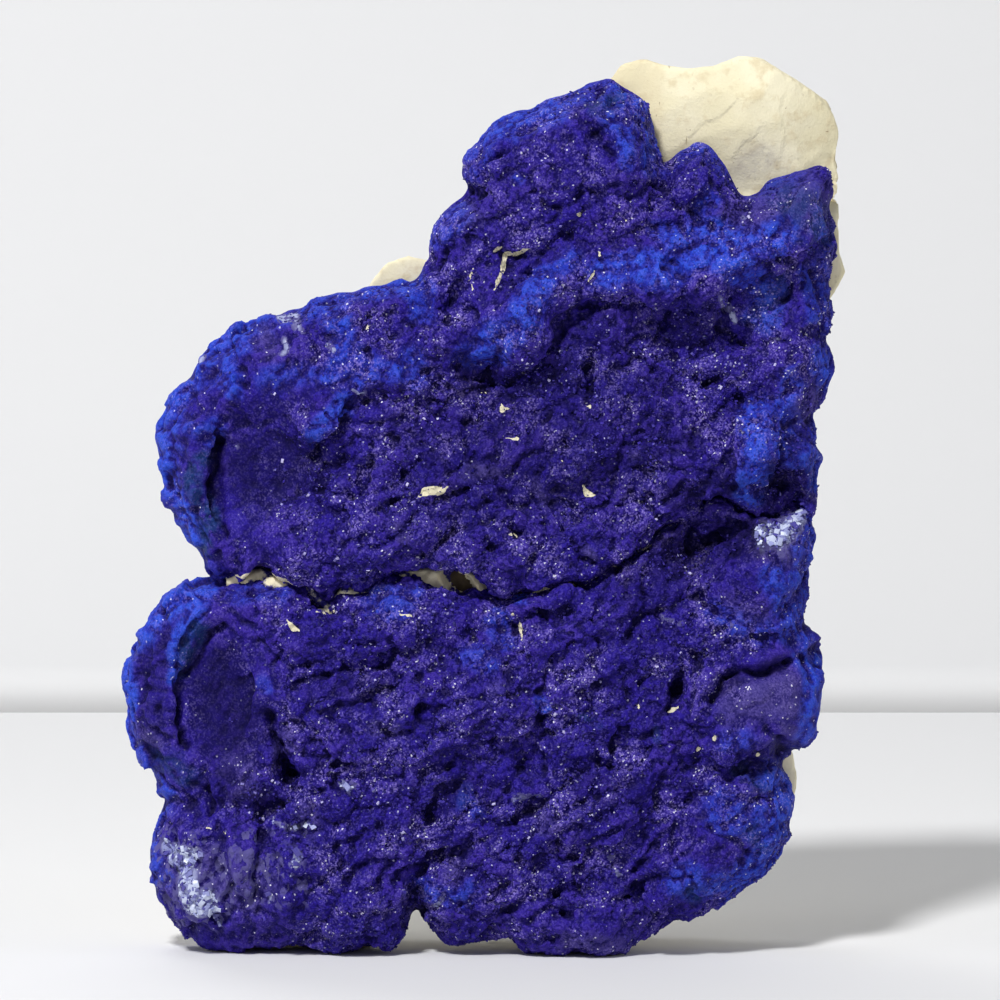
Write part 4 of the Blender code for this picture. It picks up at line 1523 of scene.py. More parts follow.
@dataclass
class Studio:
    """Pale paper sweep, soft lights and the camera."""

    target: Triple = (0.00175, -0.004, 0.0572)
    view_height: float = 0.1252
    elevation: float = 5.0
    lens: float = 240.0
    sensor: float = 36.0
    floor_near: float = 1.3
    floor_far: float = 0.55
    floor_rise: float = 1.3
    half_width: float = 0.32
    floor_half: float = 1.9
    bend: float = 0.30

    def paper(self) -> None:
        """Lay the wide paper floor, which sweeps up in a narrow screen behind."""
        profile = [(-self.floor_near, 0.0), (self.floor_far - self.bend, 0.0)]
        for turn in np.linspace(0.0, math.pi / 2.0, 12)[1:]:
            profile.append((self.floor_far - self.bend + math.sin(turn) * self.bend,
                            self.bend - math.cos(turn) * self.bend))
        profile.append((self.floor_far, self.floor_rise))
        corners = [(x, y, z) for x in (-self.half_width, self.half_width) for y, z in profile]
        count = len(profile)
        faces = [(i, i + 1, count + i + 1, count + i) for i in range(count - 1)]
        for side, first in ((-1.0, 0), (1.0, count)):
            start = len(corners)
            corners += [(side * self.half_width, self.floor_half, 0.0),
                        (side * self.floor_half, self.floor_half, 0.0),
                        (side * self.floor_half, -self.floor_near, 0.0)]
            wing = (first, first + 1, start, start + 1, start + 2)
            faces.append(wing if side < 0.0 else wing[::-1])
        mesh = bpy.data.meshes.new("paper_sweep")
        mesh.from_pydata(corners, [], faces)
        mesh.polygons.foreach_set("use_smooth", [0 < i < count - 1 for i in range(len(faces))])
        mesh.materials.append(PaperFinish("studio_paper").material())
        put_in_scene("paper_sweep", mesh)

    def camera(self) -> None:
        """Place the camera and make it the scene's."""
        data = bpy.data.cameras.new("camera")
        data.lens = self.lens
        data.sensor_width = self.sensor
        data.clip_start = 0.01
        camera = put_in_scene("camera", data)
        away = self.view_height * self.lens / self.sensor
        tilt = math.radians(self.elevation)
        target = Vector(self.target)
        camera.location = target + Vector((0.0, -math.cos(tilt), math.sin(tilt))) * away
        camera.rotation_euler = (target - camera.location).to_track_quat("-Z", "Y").to_euler()
        bpy.context.scene.camera = camera

    def light(self, name: str, place: Triple, size: float, watts: float) -> None:
        """Hang one soft lamp that faces the specimen."""
        data = bpy.data.lights.new(name, "AREA")
        data.shape = "DISK"
        data.size = size
        data.energy = watts
        lamp = put_in_scene(name, data)
        lamp.location = place
        lamp.rotation_euler = (Vector(self.target) - lamp.location).to_track_quat("-Z", "Y").to_euler()

    def build(self) -> None:
        """Set up floor, lights, sky and camera."""
        self.paper()
        self.light("key_softbox", (-0.26, -0.62, 0.86), 0.16, 10.3)
        self.light("left_softbox", (-0.85, -0.22, 0.30), 0.30, 1.1)
        self.light("right_softbox", (0.80, -0.28, 0.34), 0.30, 1.0)
        self.light("rear_softbox", (-0.30, 0.46, 0.80), 0.40, 1.7)
        world = bpy.data.worlds.new("studio_air")
        bpy.context.scene.world = world
        world.use_nodes = True
        sky = world.node_tree.nodes["Background"]
        sky.inputs["Color"].default_value = (0.96, 0.98, 1.0, 1.0)
        sky.inputs["Strength"].default_value = 0.20
        bpy.context.scene.view_settings.view_transform = "Standard"
        self.camera()


# ---------------------------------------------------------------- this specimen

# Places where the seam opens and shows clay: (x, half width, extra drop).
SEAM_OPENINGS = [(-28.0, 5.4, 1.15), (-16.4, 4.2, 0.9), (-4.2, 4.8, 2.9), (13.4, 1.4, 0.4)]
SEAM_OVERLAP = 0.10


def seam_drop(x: Array) -> Array:
    """Return how far the seam opens at each place across, in millimetres."""
    drop = np.zeros(len(x))
    for centre, half_width, extra in SEAM_OPENINGS:
        drop += extra * np.clip(1.0 - ((x - centre) / half_width) ** 2, 0.0, 1.0)
    return drop


def lower_seam() -> Run:
    """Return the upper edge of the lower growth, right to left."""
    drops = seam_drop(np.array(SEAM)[:, 0]) - SEAM_OVERLAP
    return [(x, z - drop) for (x, z), drop in zip(SEAM, drops)][::-1]


UPPER_EDGE: Run = [
    (41.2, 58.6), (42.0, 62.6), (40.7, 66.6), (42.8, 70.6), (44.0, 73.3), (42.6, 77.3),
    (42.9, 80.3), (42.3, 84.4), (43.6, 89.1), (42.7, 92.9), (42.9, 96.2), (42.4, 98.6),
    (40.7, 99.2), (37.4, 97.6), (35.3, 97.1), (32.0, 95.4), (30.3, 97.9), (28.3, 101.3),
    (26.6, 102.0), (24.2, 100.7), (21.5, 99.4), (21.1, 103.2), (19.4, 107.1), (16.8, 108.9),
    (14.6, 109.9), (11.1, 108.4), (8.0, 107.3), (5.5, 105.9), (3.0, 105.4), (0.8, 104.3),
    (-1.2, 101.9), (-2.7, 98.9), (-2.7, 95.7), (-4.6, 94.2), (-6.2, 92.0), (-6.9, 89.9),
    (-7.0, 87.3), (-8.6, 84.9), (-10.8, 85.2), (-13.3, 84.3), (-16.4, 83.6), (-20.8, 82.6),
    (-23.3, 81.0), (-28.0, 80.3), (-32.6, 77.3), (-35.3, 75.3), (-37.0, 72.5), (-39.5, 70.4),
    (-41.1, 67.0), (-41.3, 63.8), (-40.0, 59.0), (-38.6, 55.0), (-37.2, 52.0), (-35.7, 49.6),
]

LOWER_EDGE: Run = [
    (-37.0, 47.0), (-39.8, 45.5), (-41.6, 43.0), (-43.4, 39.3), (-45.4, 36.0), (-45.8, 33.0),
    (-45.6, 30.0), (-45.9, 27.6), (-44.5, 25.2), (-42.4, 22.4), (-40.4, 18.8), (-41.6, 15.6),
    (-42.7, 12.0), (-42.3, 8.2), (-40.9, 4.6), (-38.2, 1.6), (-34.6, 0.0), (-29.8, 0.7),
    (-25.1, 0.8), (-22.6, 0.4), (-19.3, 0.2), (-15.8, 0.6), (-12.0, 0.6), (-10.2, 2.6),
    (-9.0, 5.6), (-7.4, 3.6), (-5.1, 1.9), (-2.6, 1.0), (0.5, 1.5), (3.0, 1.6), (5.3, 0.4),
    (8.0, 0.2), (11.8, 0.0), (15.5, 0.0), (17.8, 0.6), (20.1, 1.9), (22.9, 3.8), (27.3, 5.1),
    (31.6, 7.4), (35.0, 10.2), (37.5, 13.7), (38.9, 17.0), (38.5, 20.2), (37.4, 23.6),
    (39.6, 26.4), (41.2, 28.4), (42.1, 31.6), (42.4, 36.0), (41.6, 38.8), (39.7, 41.2),
    (40.3, 46.0), (40.9, 50.0),
]


def lumps(*rows: tuple) -> list[Swell]:
    """Return swells from rows of place, half widths, turn and height."""
    return [Swell(*row) for row in rows]


def forms(kind: type, *rows: tuple) -> list[Form]:
    """Return creases, cracks or ledges from rows of their two sizes and the points of the run."""
    return [kind(row[0], row[1], tuple(row[2:])) for row in rows]


def zones(surface: Surface, *rows: tuple) -> list[Patch]:
    """Return patches of one surface from rows of half width, strength and points."""
    return [Patch(row[0], row[1], tuple(row[2:]), surface) for row in rows]


def bits(*rows: tuple) -> list[Fleck]:
    """Return bits of clay from rows of half width and points."""
    return [Fleck(row[0], tuple(row[1:])) for row in rows]


def upper_growth() -> Growth:
    """Return the upper growth with its forms and zones."""
    swells = lumps(
        (12.0, 99.0, 13.0, 9.5, 8.0, 3.4),
        (36.5, 92.5, 9.0, 7.5, 10.0, 2.6),
        (20.0, 86.5, 13.0, 4.6, 6.0, 3.2),
        (4.0, 80.6, 7.4, 5.0, 35.0, 4.2),
        (33.8, 88.0, 8.0, 4.2, 22.0, 2.2),
        (-5.1, 78.2, 2.6, 3.4, 0.0, 2.4),
        (-27.6, 61.0, 6.6, 7.0, 0.0, -1.9),
        (-35.8, 61.6, 3.0, 9.5, 4.0, 1.6),
        (-28.0, 72.8, 8.0, 4.0, 12.0, 1.6),
        (-20.4, 68.6, 2.2, 4.6, -38.0, 1.8),
        (-12.0, 74.0, 9.0, 6.0, 25.0, 1.4),
        (-6.0, 58.0, 12.0, 8.0, 20.0, 1.6),
        (12.0, 66.0, 10.0, 6.0, 30.0, 1.8),
        (33.8, 64.0, 3.2, 6.6, -12.0, 2.4),
        (38.4, 76.0, 5.0, 7.0, 0.0, 1.8),
        (36.4, 59.2, 3.4, 2.2, -10.0, -4.0),
        (41.0, 60.6, 2.0, 3.6, 0.0, 1.6),
        (24.0, 78.0, 9.0, 4.0, 4.0, -2.8),
        (27.0, 61.0, 7.0, 4.4, 30.0, 1.8),
        (6.0, 52.0, 9.0, 4.0, 8.0, 1.6),
        (-17.0, 54.0, 7.0, 4.0, -10.0, 1.2),
    )
    creases = forms(
        Crease,
        (0.8, 0.9, (-33.4, 66.6), (-33.8, 62.0), (-32.8, 56.2)),
        (1.1, 1.4, (-3.6, 75.2), (3.0, 73.4), (6.6, 75.4), (9.4, 79.6), (14.0, 82.2)),
        (1.0, 1.0, (13.0, 76.0), (12.8, 70.4)),
        (1.0, 1.0, (26.8, 73.4), (30.6, 70.6)),
        (1.2, 1.1, (19.4, 61.8), (25.4, 58.4)),
        (1.2, 1.1, (21.9, 98.6), (20.6, 94.0)),
        (1.1, 1.0, (32.2, 95.0), (31.0, 92.6)),
    )
    ribs = [
        *lumps((-4.2, 83.0, 1.8, 3.0, -20.0, -1.8), (-1.0, 72.4, 4.0, 1.4, 6.0, -1.4)),
        *forms(
            Crease,
            (0.7, -0.9, (10.0, 104.6), (12.6, 101.6), (15.6, 98.8)),
            (0.7, -1.0, (12.6, 105.6), (15.4, 103.8), (17.8, 101.0)),
            (0.8, -0.6, (-38.0, 66.4), (-35.0, 66.8), (-33.0, 66.0)),
            (1.0, -0.8, (16.0, 50.6), (20.0, 54.6), (24.0, 57.6)),
        ),
    ]
    splits = forms(
        Crack,
        (0.45, 2.2, (-33.4, 66.4), (-33.7, 62.0), (-33.2, 56.0), (-32.0, 52.0)),
        (0.40, 1.4, (-21.8, 65.6), (-21.4, 64.2), (-20.4, 62.8)),
        (0.30, 1.2, (-21.4, 58.2), (-19.6, 57.0), (-18.4, 56.4), (-17.4, 57.2)),
        (0.35, 1.2, (-2.6, 82.4), (-1.4, 80.6), (-0.4, 81.2)),
        (0.40, 1.4, (0.0, 74.6), (2.0, 73.2), (5.0, 74.3), (6.6, 75.9), (8.5, 78.5), (9.3, 79.4)),
        (0.30, 0.9, (-8.0, 75.9), (-6.0, 75.3), (-4.2, 77.0)),
        (0.30, 1.2, (-8.0, 68.7), (-5.0, 67.9), (-2.0, 67.5), (0.2, 67.9)),
        (0.30, 1.3, (-15.0, 63.3), (-12.5, 63.0), (-11.0, 62.7), (-10.2, 61.0), (-9.9, 59.6)),
        (0.30, 1.2, (-4.9, 60.4), (-3.4, 61.6), (-2.3, 63.2)),
        (0.30, 1.1, (-13.6, 56.4), (-12.0, 57.4), (-10.8, 58.8)),
        (0.35, 1.3, (9.7, 66.2), (9.6, 64.0), (9.5, 62.2)),
        (0.55, 1.8, (12.3, 75.6), (12.9, 73.0), (12.6, 70.2)),
        (0.30, 0.9, (10.0, 86.4), (10.8, 86.8), (11.6, 85.6), (12.4, 84.8)),
        (0.45, 1.7, (26.6, 71.2), (28.0, 72.1), (30.0, 73.9)),
        (0.25, 0.9, (19.8, 73.8), (21.8, 75.3), (24.2, 75.6)),
        (0.35, 1.1, (30.0, 79.0), (31.0, 77.4), (32.2, 76.4)),
        (0.40, 1.2, (-0.4, 53.4), (0.2, 52.0), (1.6, 51.6)),
        (0.50, 1.5, (2.2, 54.3), (3.4, 54.0), (4.4, 53.0)),
        (0.30, 1.1, (10.6, 52.0), (11.6, 50.6), (13.0, 49.6), (14.4, 49.9)),
        (0.30, 1.0, (-7.6, 50.0), (-5.6, 49.6), (-4.0, 50.2)),
        (0.30, 1.0, (11.0, 95.4), (13.0, 95.6), (15.0, 96.6), (17.0, 97.6)),
        (0.30, 0.9, (11.4, 105.0), (14.2, 102.8), (16.0, 100.6)),
        (0.35, 0.9, (17.0, 106.8), (19.6, 105.4), (19.8, 103.4), (18.4, 101.6)),
        (0.35, 0.9, (1.6, 103.0), (4.4, 104.0), (7.4, 105.0), (10.0, 105.4)),
        (0.40, 1.0, (-2.6, 96.4), (-0.4, 95.4), (1.6, 95.8)),
        (0.35, 1.1, (-7.0, 89.6), (-4.5, 89.2), (-2.0, 89.8), (-0.6, 90.8)),
        (0.40, 1.3, (21.6, 98.8), (21.0, 96.4), (20.2, 94.4)),
        (0.40, 1.3, (31.0, 95.6), (30.0, 94.4), (29.2, 92.6)),
        (0.30, 1.0, (17.0, 66.8), (17.4, 64.6), (16.6, 63.8)),
    )
    steps = forms(
        Ledge,
        (1.7, 3.4, (17.4, 83.2), (20.0, 82.9), (22.0, 82.3), (25.0, 81.7), (28.0, 81.8), (30.8, 82.6)),
        (1.5, 3.0, (0.0, 74.4), (2.0, 73.0), (5.0, 74.1), (6.8, 75.9), (9.4, 79.4)),
        (1.2, 2.0, (-22.0, 65.0), (-19.6, 67.4), (-17.2, 70.2)),
        (1.0, 2.0, (15.0, 56.8), (16.6, 57.8), (18.2, 59.4)),
        (1.3, 2.2, (20.4, 57.6), (22.4, 58.2), (24.6, 60.8)),
        (0.7, 2.2, (-35.8, 50.6), (-36.6, 56.0), (-37.2, 60.0), (-37.6, 63.4)),
        (0.8, 2.4, (-37.8, 67.0), (-35.2, 67.2), (-33.0, 66.4), (-31.0, 66.2)),
        (0.6, 2.0, (-31.2, 75.6), (-28.4, 75.2), (-26.0, 75.6)),
        (0.7, 1.6, (-36.4, 72.0), (-34.6, 73.6), (-33.4, 75.8)),
        (0.8, 2.0, (24.6, 94.2), (26.4, 96.4), (28.4, 99.4)),
        (1.3, 3.0, (35.0, 87.4), (37.6, 88.6), (41.0, 90.4), (42.8, 91.4)),
        (0.8, 2.0, (36.0, 73.6), (38.2, 74.2), (40.4, 75.2)),
        (1.2, 2.4, (34.2, 58.6), (35.6, 63.0), (36.4, 67.4)),
        (0.9, 2.0, (32.0, 68.6), (31.0, 65.0), (31.6, 60.0), (32.0, 57.6)),
        (0.9, 2.2, (-13.0, 70.4), (-9.6, 71.0), (-5.0, 70.6), (-1.6, 71.4)),
    )
    patches = [
        *zones(
            Surface.AZURE,
            (2.0, 0.80, (-28.0, 80.0), (-33.0, 77.0), (-37.0, 72.6)),
            (1.8, 0.95, (-38.8, 70.6), (-40.8, 66.0), (-39.8, 61.0), (-38.4, 56.0), (-37.0, 51.0)),
            (1.4, 0.70, (-33.6, 75.4), (-30.8, 73.0), (-31.4, 71.4)),
            (1.6, 0.50, (-36.0, 67.0), (-34.6, 66.0)),
            (1.8, 0.60, (-22.0, 82.0), (-18.4, 81.6)),
            (1.8, 0.80, (-17.6, 78.4), (-18.6, 75.4), (-19.4, 73.0)),
            (2.0, 0.45, (-26.0, 72.6), (-21.0, 73.0)),
            (1.2, 0.70, (-21.6, 65.4), (-19.0, 68.4), (-17.0, 70.4)),
            (1.6, 0.80, (-14.4, 83.4), (-11.0, 84.6), (-8.0, 83.4), (-7.6, 82.0)),
            (2.2, 0.60, (-15.0, 74.0), (-9.6, 74.6)),
            (2.0, 0.80, (-2.0, 76.4), (1.6, 77.6), (4.6, 79.4), (5.0, 82.0), (8.0, 86.6), (10.2, 88.0)),
            (2.2, 0.95, (15.0, 85.6), (19.0, 86.4), (22.4, 86.6), (26.0, 88.6), (29.0, 88.0), (30.4, 86.6)),
            (1.8, 0.80, (23.0, 90.6), (28.6, 90.8), (33.0, 90.2), (36.6, 90.8)),
            (1.4, 0.50, (26.6, 93.4), (28.4, 96.0)),
            (2.0, 0.60, (33.4, 85.4), (35.0, 83.0), (34.6, 80.4)),
            (2.0, 0.90, (33.8, 68.4), (34.0, 64.0), (33.0, 58.8)),
            (1.6, 0.60, (37.6, 72.0), (37.4, 67.0), (38.6, 64.0)),
            (1.3, 0.80, (40.4, 63.6), (40.6, 59.4)),
            (1.4, 0.70, (41.0, 75.6), (42.4, 72.4)),
            (1.6, 0.45, (40.6, 86.0), (41.6, 80.6)),
            (1.3, 0.60, (15.0, 106.0), (17.6, 103.6), (17.0, 101.0)),
            (1.2, 0.80, (16.4, 108.4), (19.6, 106.0), (21.2, 102.0)),
            (1.6, 0.70, (-1.6, 100.6), (0.6, 103.4), (5.0, 105.2), (9.4, 107.0)),
            (1.0, 0.50, (4.2, 98.0),),
            (1.6, 0.40, (-6.6, 90.0), (-3.6, 93.4)),
        ),
        *zones(
            Surface.TEAL,
            (1.3, 0.90, (-36.0, 63.0), (-35.4, 57.0), (-34.8, 51.6)),
            (1.2, 0.60, (13.0, 106.6), (15.6, 107.0)),
            (1.6, 0.40, (36.6, 84.4), (34.4, 79.6)),
            (2.8, 0.60, (38.0, 95.0), (41.4, 91.0)),
        ),
        *zones(
            Surface.GREY,
            (2.6, 0.60, (37.0, 95.6), (40.6, 96.0), (41.4, 93.4)),
            (1.8, 0.60, (31.0, 93.4), (34.6, 93.8)),
            (1.3, 0.80, (-1.6, 61.6), (1.0, 61.6)),
            (1.0, 0.60, (6.8, 60.0), (7.6, 58.8)),
            (1.2, 0.80, (12.6, 51.4),),
            (1.1, 0.70, (-11.8, 54.6), (-10.6, 53.6)),
            (1.2, 0.60, (-27.6, 77.6), (-27.0, 76.0)),
            (1.6, 0.50, (-2.0, 93.4),),
            (1.2, 0.60, (39.0, 69.0), (40.4, 71.4)),
            (1.2, 0.50, (18.0, 64.0),),
        ),
        # Painted sheen: silvery zones where cleavage faces catch the light.
        *zones(
            Surface.SILVER_SHEEN,
            (0.6, 0.95, (-25.0, 77.4), (-24.8, 76.6)),
            (0.7, 0.95, (-24.6, 80.2), (-22.8, 80.4), (-22.8, 79.0)),
            (0.5, 0.95, (-20.2, 77.6), (-19.6, 76.8)),
            (0.5, 0.95, (-35.4, 74.8),),
            (0.55, 0.95, (28.4, 82.0), (30.0, 81.4), (31.4, 79.6)),
            (0.4, 0.85, (36.0, 77.8),),
            (0.5, 0.95, (26.0, 77.6),),
            (0.35, 0.85, (-15.8, 71.7), (-14.8, 71.0)),
            (0.4, 0.85, (-31.4, 63.4),),
            (0.5, 0.85, (33.0, 93.6),),
            (0.4, 0.85, (-19.0, 61.0),),
        ),
    ]
    # Painted shade: near-black zones over the cavities, cracks and the recess under the brow, with a darker
    # tone over the fan's dish.
    patches += zones(
        Surface.DARK_AND_SHADE,
        (4.2, 0.80, (-30.0, 61.0), (-23.0, 61.6)),
        (10.0, 0.50, (-2.0, 63.0), (14.0, 67.0)),
        (0.9, 0.90, (-33.2, 65.0), (-33.2, 57.0)),
        (2.4, 0.85, (-2.4, 73.0), (4.0, 71.6), (9.0, 74.0)),
        (2.0, 0.60, (10.0, 77.0), (13.6, 79.6)),
        (2.2, 0.60, (21.0, 80.0), (27.0, 79.6)),
        (1.8, 0.70, (10.6, 74.0), (11.4, 70.0)),
        (2.0, 1.00, (35.6, 57.4), (36.8, 62.0)),
        (1.6, 0.70, (38.6, 58.0), (38.8, 66.0)),
        (2.2, 0.90, (24.0, 59.0), (31.0, 60.4)),
        (1.8, 0.60, (20.0, 64.4), (25.0, 66.0)),
        (1.8, 0.50, (-10.6, 67.0), (-3.0, 66.6)),
    )
    flecks = bits(
        (0.35, (2.0, 69.8), (2.2, 68.8), (3.0, 69.0)),
        (0.42, (-8.6, 58.2), (-7.4, 58.9), (-5.6, 59.0), (-4.9, 59.8)),
        (0.30, (11.9, 59.6), (12.8, 58.6), (14.2, 58.2)), (0.25, (2.6, 54.0), (3.4, 53.7), (3.6, 53.2)),
        (0.16, (12.1, 69.6), (12.8, 69.3), (13.4, 69.4)), (0.14, (-1.0, 71.1), (0.2, 70.8)),
        (0.12, (1.9, 66.0), (4.8, 65.2)), (0.22, (0.6, 88.4), (2.5, 89.8)),
        (0.24, (0.8, 83.9), (2.0, 86.0), (2.5, 88.2), (5.5, 89.2)), (0.18, (-2.2, 85.2), (-1.4, 86.6)),
        (0.26, (-1.6, 84.8), (-1.3, 83.8)), (0.30, (11.5, 93.6),), (0.30, (13.9, 88.9), (14.2, 87.8)),
        (0.18, (12.5, 84.9), (13.3, 86.4)), (0.20, (17.5, 92.6)), (0.15, (9.4, 62.8)),
        (0.30, (-14.8, 79.4)),
        (0.40, (-31.0, 47.9), (-27.5, 48.3), (-24.0, 47.0)), (0.25, (13.7, 47.6), (13.5, 46.4)),
    )
    smooth = [
        (-28.5, 61.5, 6.5, 6.5, 0.85), (-38.5, 62.0, 4.5, 12.0, 1.0), (-30.0, 74.0, 9.0, 5.0, 0.5),
        (14.0, 102.5, 8.0, 6.5, 0.42), (38.0, 94.5, 6.0, 5.0, 0.62), (27.0, 97.5, 4.0, 4.0, 0.20),
        (4.0, 80.5, 7.0, 4.5, 0.45), (36.0, 79.0, 5.0, 6.0, 0.4),
    ]
    fans = [Fan(-18.9, 61.0, 21.0, 168.0, 78.0, 0.62, 14.4)]
    return Growth(
        "azurite_upper_crust", "azurite_upper", "azurite_upper_crust", UPPER_EDGE, SEAM, swells,
        creases, [*ribs, *splits, *steps], smooth, fans, patches, flecks,
        AzuriteFinish("azurite_upper_druse"), seed=101)


def lower_growth() -> Growth:
    """Return the lower growth with its forms and zones."""
    swells = lumps(
        (-32.4, 33.4, 5.6, 8.6, 6.0, -1.3),
        (-40.4, 33.0, 3.0, 10.0, 0.0, 1.8),
        (-35.0, 44.0, 6.0, 2.6, 20.0, 1.4),
        (-24.7, 23.2, 1.3, 2.2, 20.0, -2.6),
        (-31.4, 9.8, 11.0, 8.6, 4.0, 2.8),
        (33.8, 47.0, 6.8, 8.0, 0.0, 3.0),
        (33.4, 32.3, 8.6, 5.6, 4.0, 3.6),
        (31.6, 27.2, 4.4, 2.4, 6.0, 1.6),
        (31.8, 18.0, 7.4, 7.0, 30.0, 2.6),
        (11.8, 3.4, 8.4, 3.6, 0.0, 2.2),
        (27.2, 52.6, 6.6, 3.6, 22.0, -4.6),
        (23.8, 34.2, 0.8, 1.8, -10.0, -2.4),
        (37.2, 26.3, 2.4, 1.5, 0.0, -3.0),
        (-12.0, 30.0, 9.0, 5.0, 28.0, 1.8),
        (2.0, 34.0, 9.0, 6.0, 30.0, 2.0),
        (-12.0, 41.5, 8.0, 3.4, 6.0, 1.4),
        (10.0, 41.0, 9.0, 4.0, 20.0, 1.4),
        (-16.0, 9.0, 6.0, 6.0, 0.0, 1.6),
        (14.0, 17.0, 12.0, 4.0, 38.0, 2.0),
        (4.0, 8.0, 7.0, 3.4, 10.0, 1.2),
        (24.0, 10.0, 8.0, 3.0, 32.0, 1.6),
        (-9.0, 7.0, 1.5, 3.8, 0.0, -3.4),
    )
    creases = forms(
        Crease,
        (0.7, 0.6, (-35.1, 40.6), (-37.0, 37.3), (-38.3, 33.5), (-38.5, 29.8), (-37.4, 26.0)),
        (0.8, 0.4, (-23.3, 34.5), (-15.8, 36.9), (-10.8, 37.9), (-5.1, 41.0)),
        (1.0, 1.3, (-8.0, 17.0), (-2.6, 22.9)),
        (1.1, 1.1, (-10.8, 9.8), (-3.3, 13.5), (5.5, 18.5), (12.0, 24.0)),
        (1.0, 0.7, (-33.4, 16.0), (-33.6, 5.0)),
        (1.0, 0.7, (-28.0, 15.6), (-27.8, 4.0)),
        (1.1, 1.4, (24.4, 25.0), (31.0, 24.4), (36.8, 24.8)),
        (1.2, 1.3, (-39.0, 19.2), (-34.0, 19.6), (-27.0, 19.0)),
    )
    ribs = forms(
        Crease,
        (1.2, -1.0, (-23.4, 28.6), (-22.4, 26.0)),
        (0.6, -0.5, (-36.8, 15.4), (-37.4, 6.0)),
        (0.8, -0.6, (-31.2, 15.0), (-31.0, 5.0)),
        (0.8, -0.6, (-24.8, 15.6), (-25.0, 6.0)),
        (0.9, -1.0, (6.0, 14.6), (13.0, 19.0), (20.0, 25.0)),
        (0.9, -0.9, (14.0, 8.0), (22.0, 12.0), (28.0, 17.0)),
        (0.9, -0.8, (-43.4, 30.0), (-43.6, 36.0), (-41.0, 41.6), (-37.0, 45.2)),
    )
    splits = forms(
        Crack,
        (0.26, 1.5, (-31.8, 42.0), (-34.5, 40.8), (-36.0, 37.8), (-38.2, 35.5), (-38.5, 32.0),
         (-38.7, 30.0), (-38.2, 28.5), (-37.4, 26.2)),
        (0.30, 1.1, (-32.8, 44.6), (-30.6, 42.4), (-28.6, 41.2)),
        (0.25, 0.8, (-29.4, 46.2), (-28.4, 44.0), (-29.6, 42.4)),
        (0.38, 2.4, (-27.8, 31.9), (-26.8, 28.8), (-25.4, 25.4), (-24.2, 22.0)),
        (0.30, 1.3, (-27.2, 36.4), (-26.0, 38.4), (-25.2, 40.2)),
        (0.25, 0.9, (-25.0, 34.6), (-21.8, 35.5), (-18.6, 36.1), (-15.8, 36.9), (-12.4, 37.2)),
        (0.30, 1.2, (-23.4, 25.2), (-22.2, 27.0), (-21.6, 28.6)),
        (0.35, 1.2, (-37.4, 20.8), (-35.6, 22.7), (-33.6, 23.2)),
        (0.30, 1.1, (-34.8, 23.0), (-35.0, 20.0), (-35.0, 17.4)),
        (0.40, 1.5, (-27.8, 19.4), (-28.2, 14.0), (-28.6, 7.4)),
        (0.30, 1.0, (-34.9, 8.4), (-34.4, 5.6), (-34.3, 3.4)),
        (0.35, 1.2, (-23.8, 10.6), (-21.8, 10.0), (-20.0, 10.4)),
        (0.25, 0.8, (-13.4, 38.2), (-11.6, 38.7), (-10.0, 38.4)),
        (0.25, 1.0, (-7.1, 35.4), (-8.0, 33.2), (-8.6, 30.4)),
        (0.25, 0.9, (-4.6, 34.4), (-3.6, 32.8), (-4.0, 31.4)),
        (0.30, 1.0, (-16.6, 26.6), (-14.8, 26.4), (-13.0, 26.3)),
        (0.35, 1.3, (-5.0, 23.4), (-3.6, 25.4), (0.4, 24.8)),
        (0.30, 1.0, (2.4, 24.4), (4.4, 24.2), (6.4, 24.0)),
        (0.30, 1.0, (5.3, 31.4), (6.6, 33.6)),
        (0.50, 1.6, (5.6, 30.2), (7.0, 30.0), (8.4, 30.8)),
        (0.40, 1.3, (7.8, 29.0), (8.4, 27.0)),
        (0.50, 1.8, (-8.0, 16.6), (-6.2, 19.4), (-4.4, 22.2)),
        (0.30, 1.4, (-9.2, 10.2), (-7.2, 11.9), (-4.4, 13.6)),
        (0.30, 1.3, (-2.6, 11.0), (-0.8, 11.6), (1.2, 13.4), (3.6, 14.6)),
        (0.30, 1.2, (-2.2, 16.6), (-0.4, 18.4), (1.4, 19.2)),
        (0.40, 1.4, (-0.2, 7.0), (1.8, 9.2), (3.6, 10.2)),
        (0.30, 1.2, (12.4, 25.2), (15.8, 24.2), (19.0, 24.6), (20.4, 27.6)),
        (0.35, 1.6, (24.4, 37.6), (24.0, 35.0), (23.2, 32.2), (22.4, 30.6)),
        (0.35, 1.8, (27.2, 30.6), (27.8, 33.4), (29.8, 36.0), (31.4, 36.9), (34.6, 37.0), (38.4, 38.2)),
        (0.30, 1.2, (33.6, 30.0), (35.4, 29.2), (37.4, 27.2)),
        (0.25, 0.8, (27.2, 39.8), (27.0, 37.6)),
        (0.30, 0.9, (26.4, 17.6), (30.8, 15.2), (33.4, 12.6)),
        (0.25, 0.8, (24.0, 20.4), (27.0, 19.4)),
    )
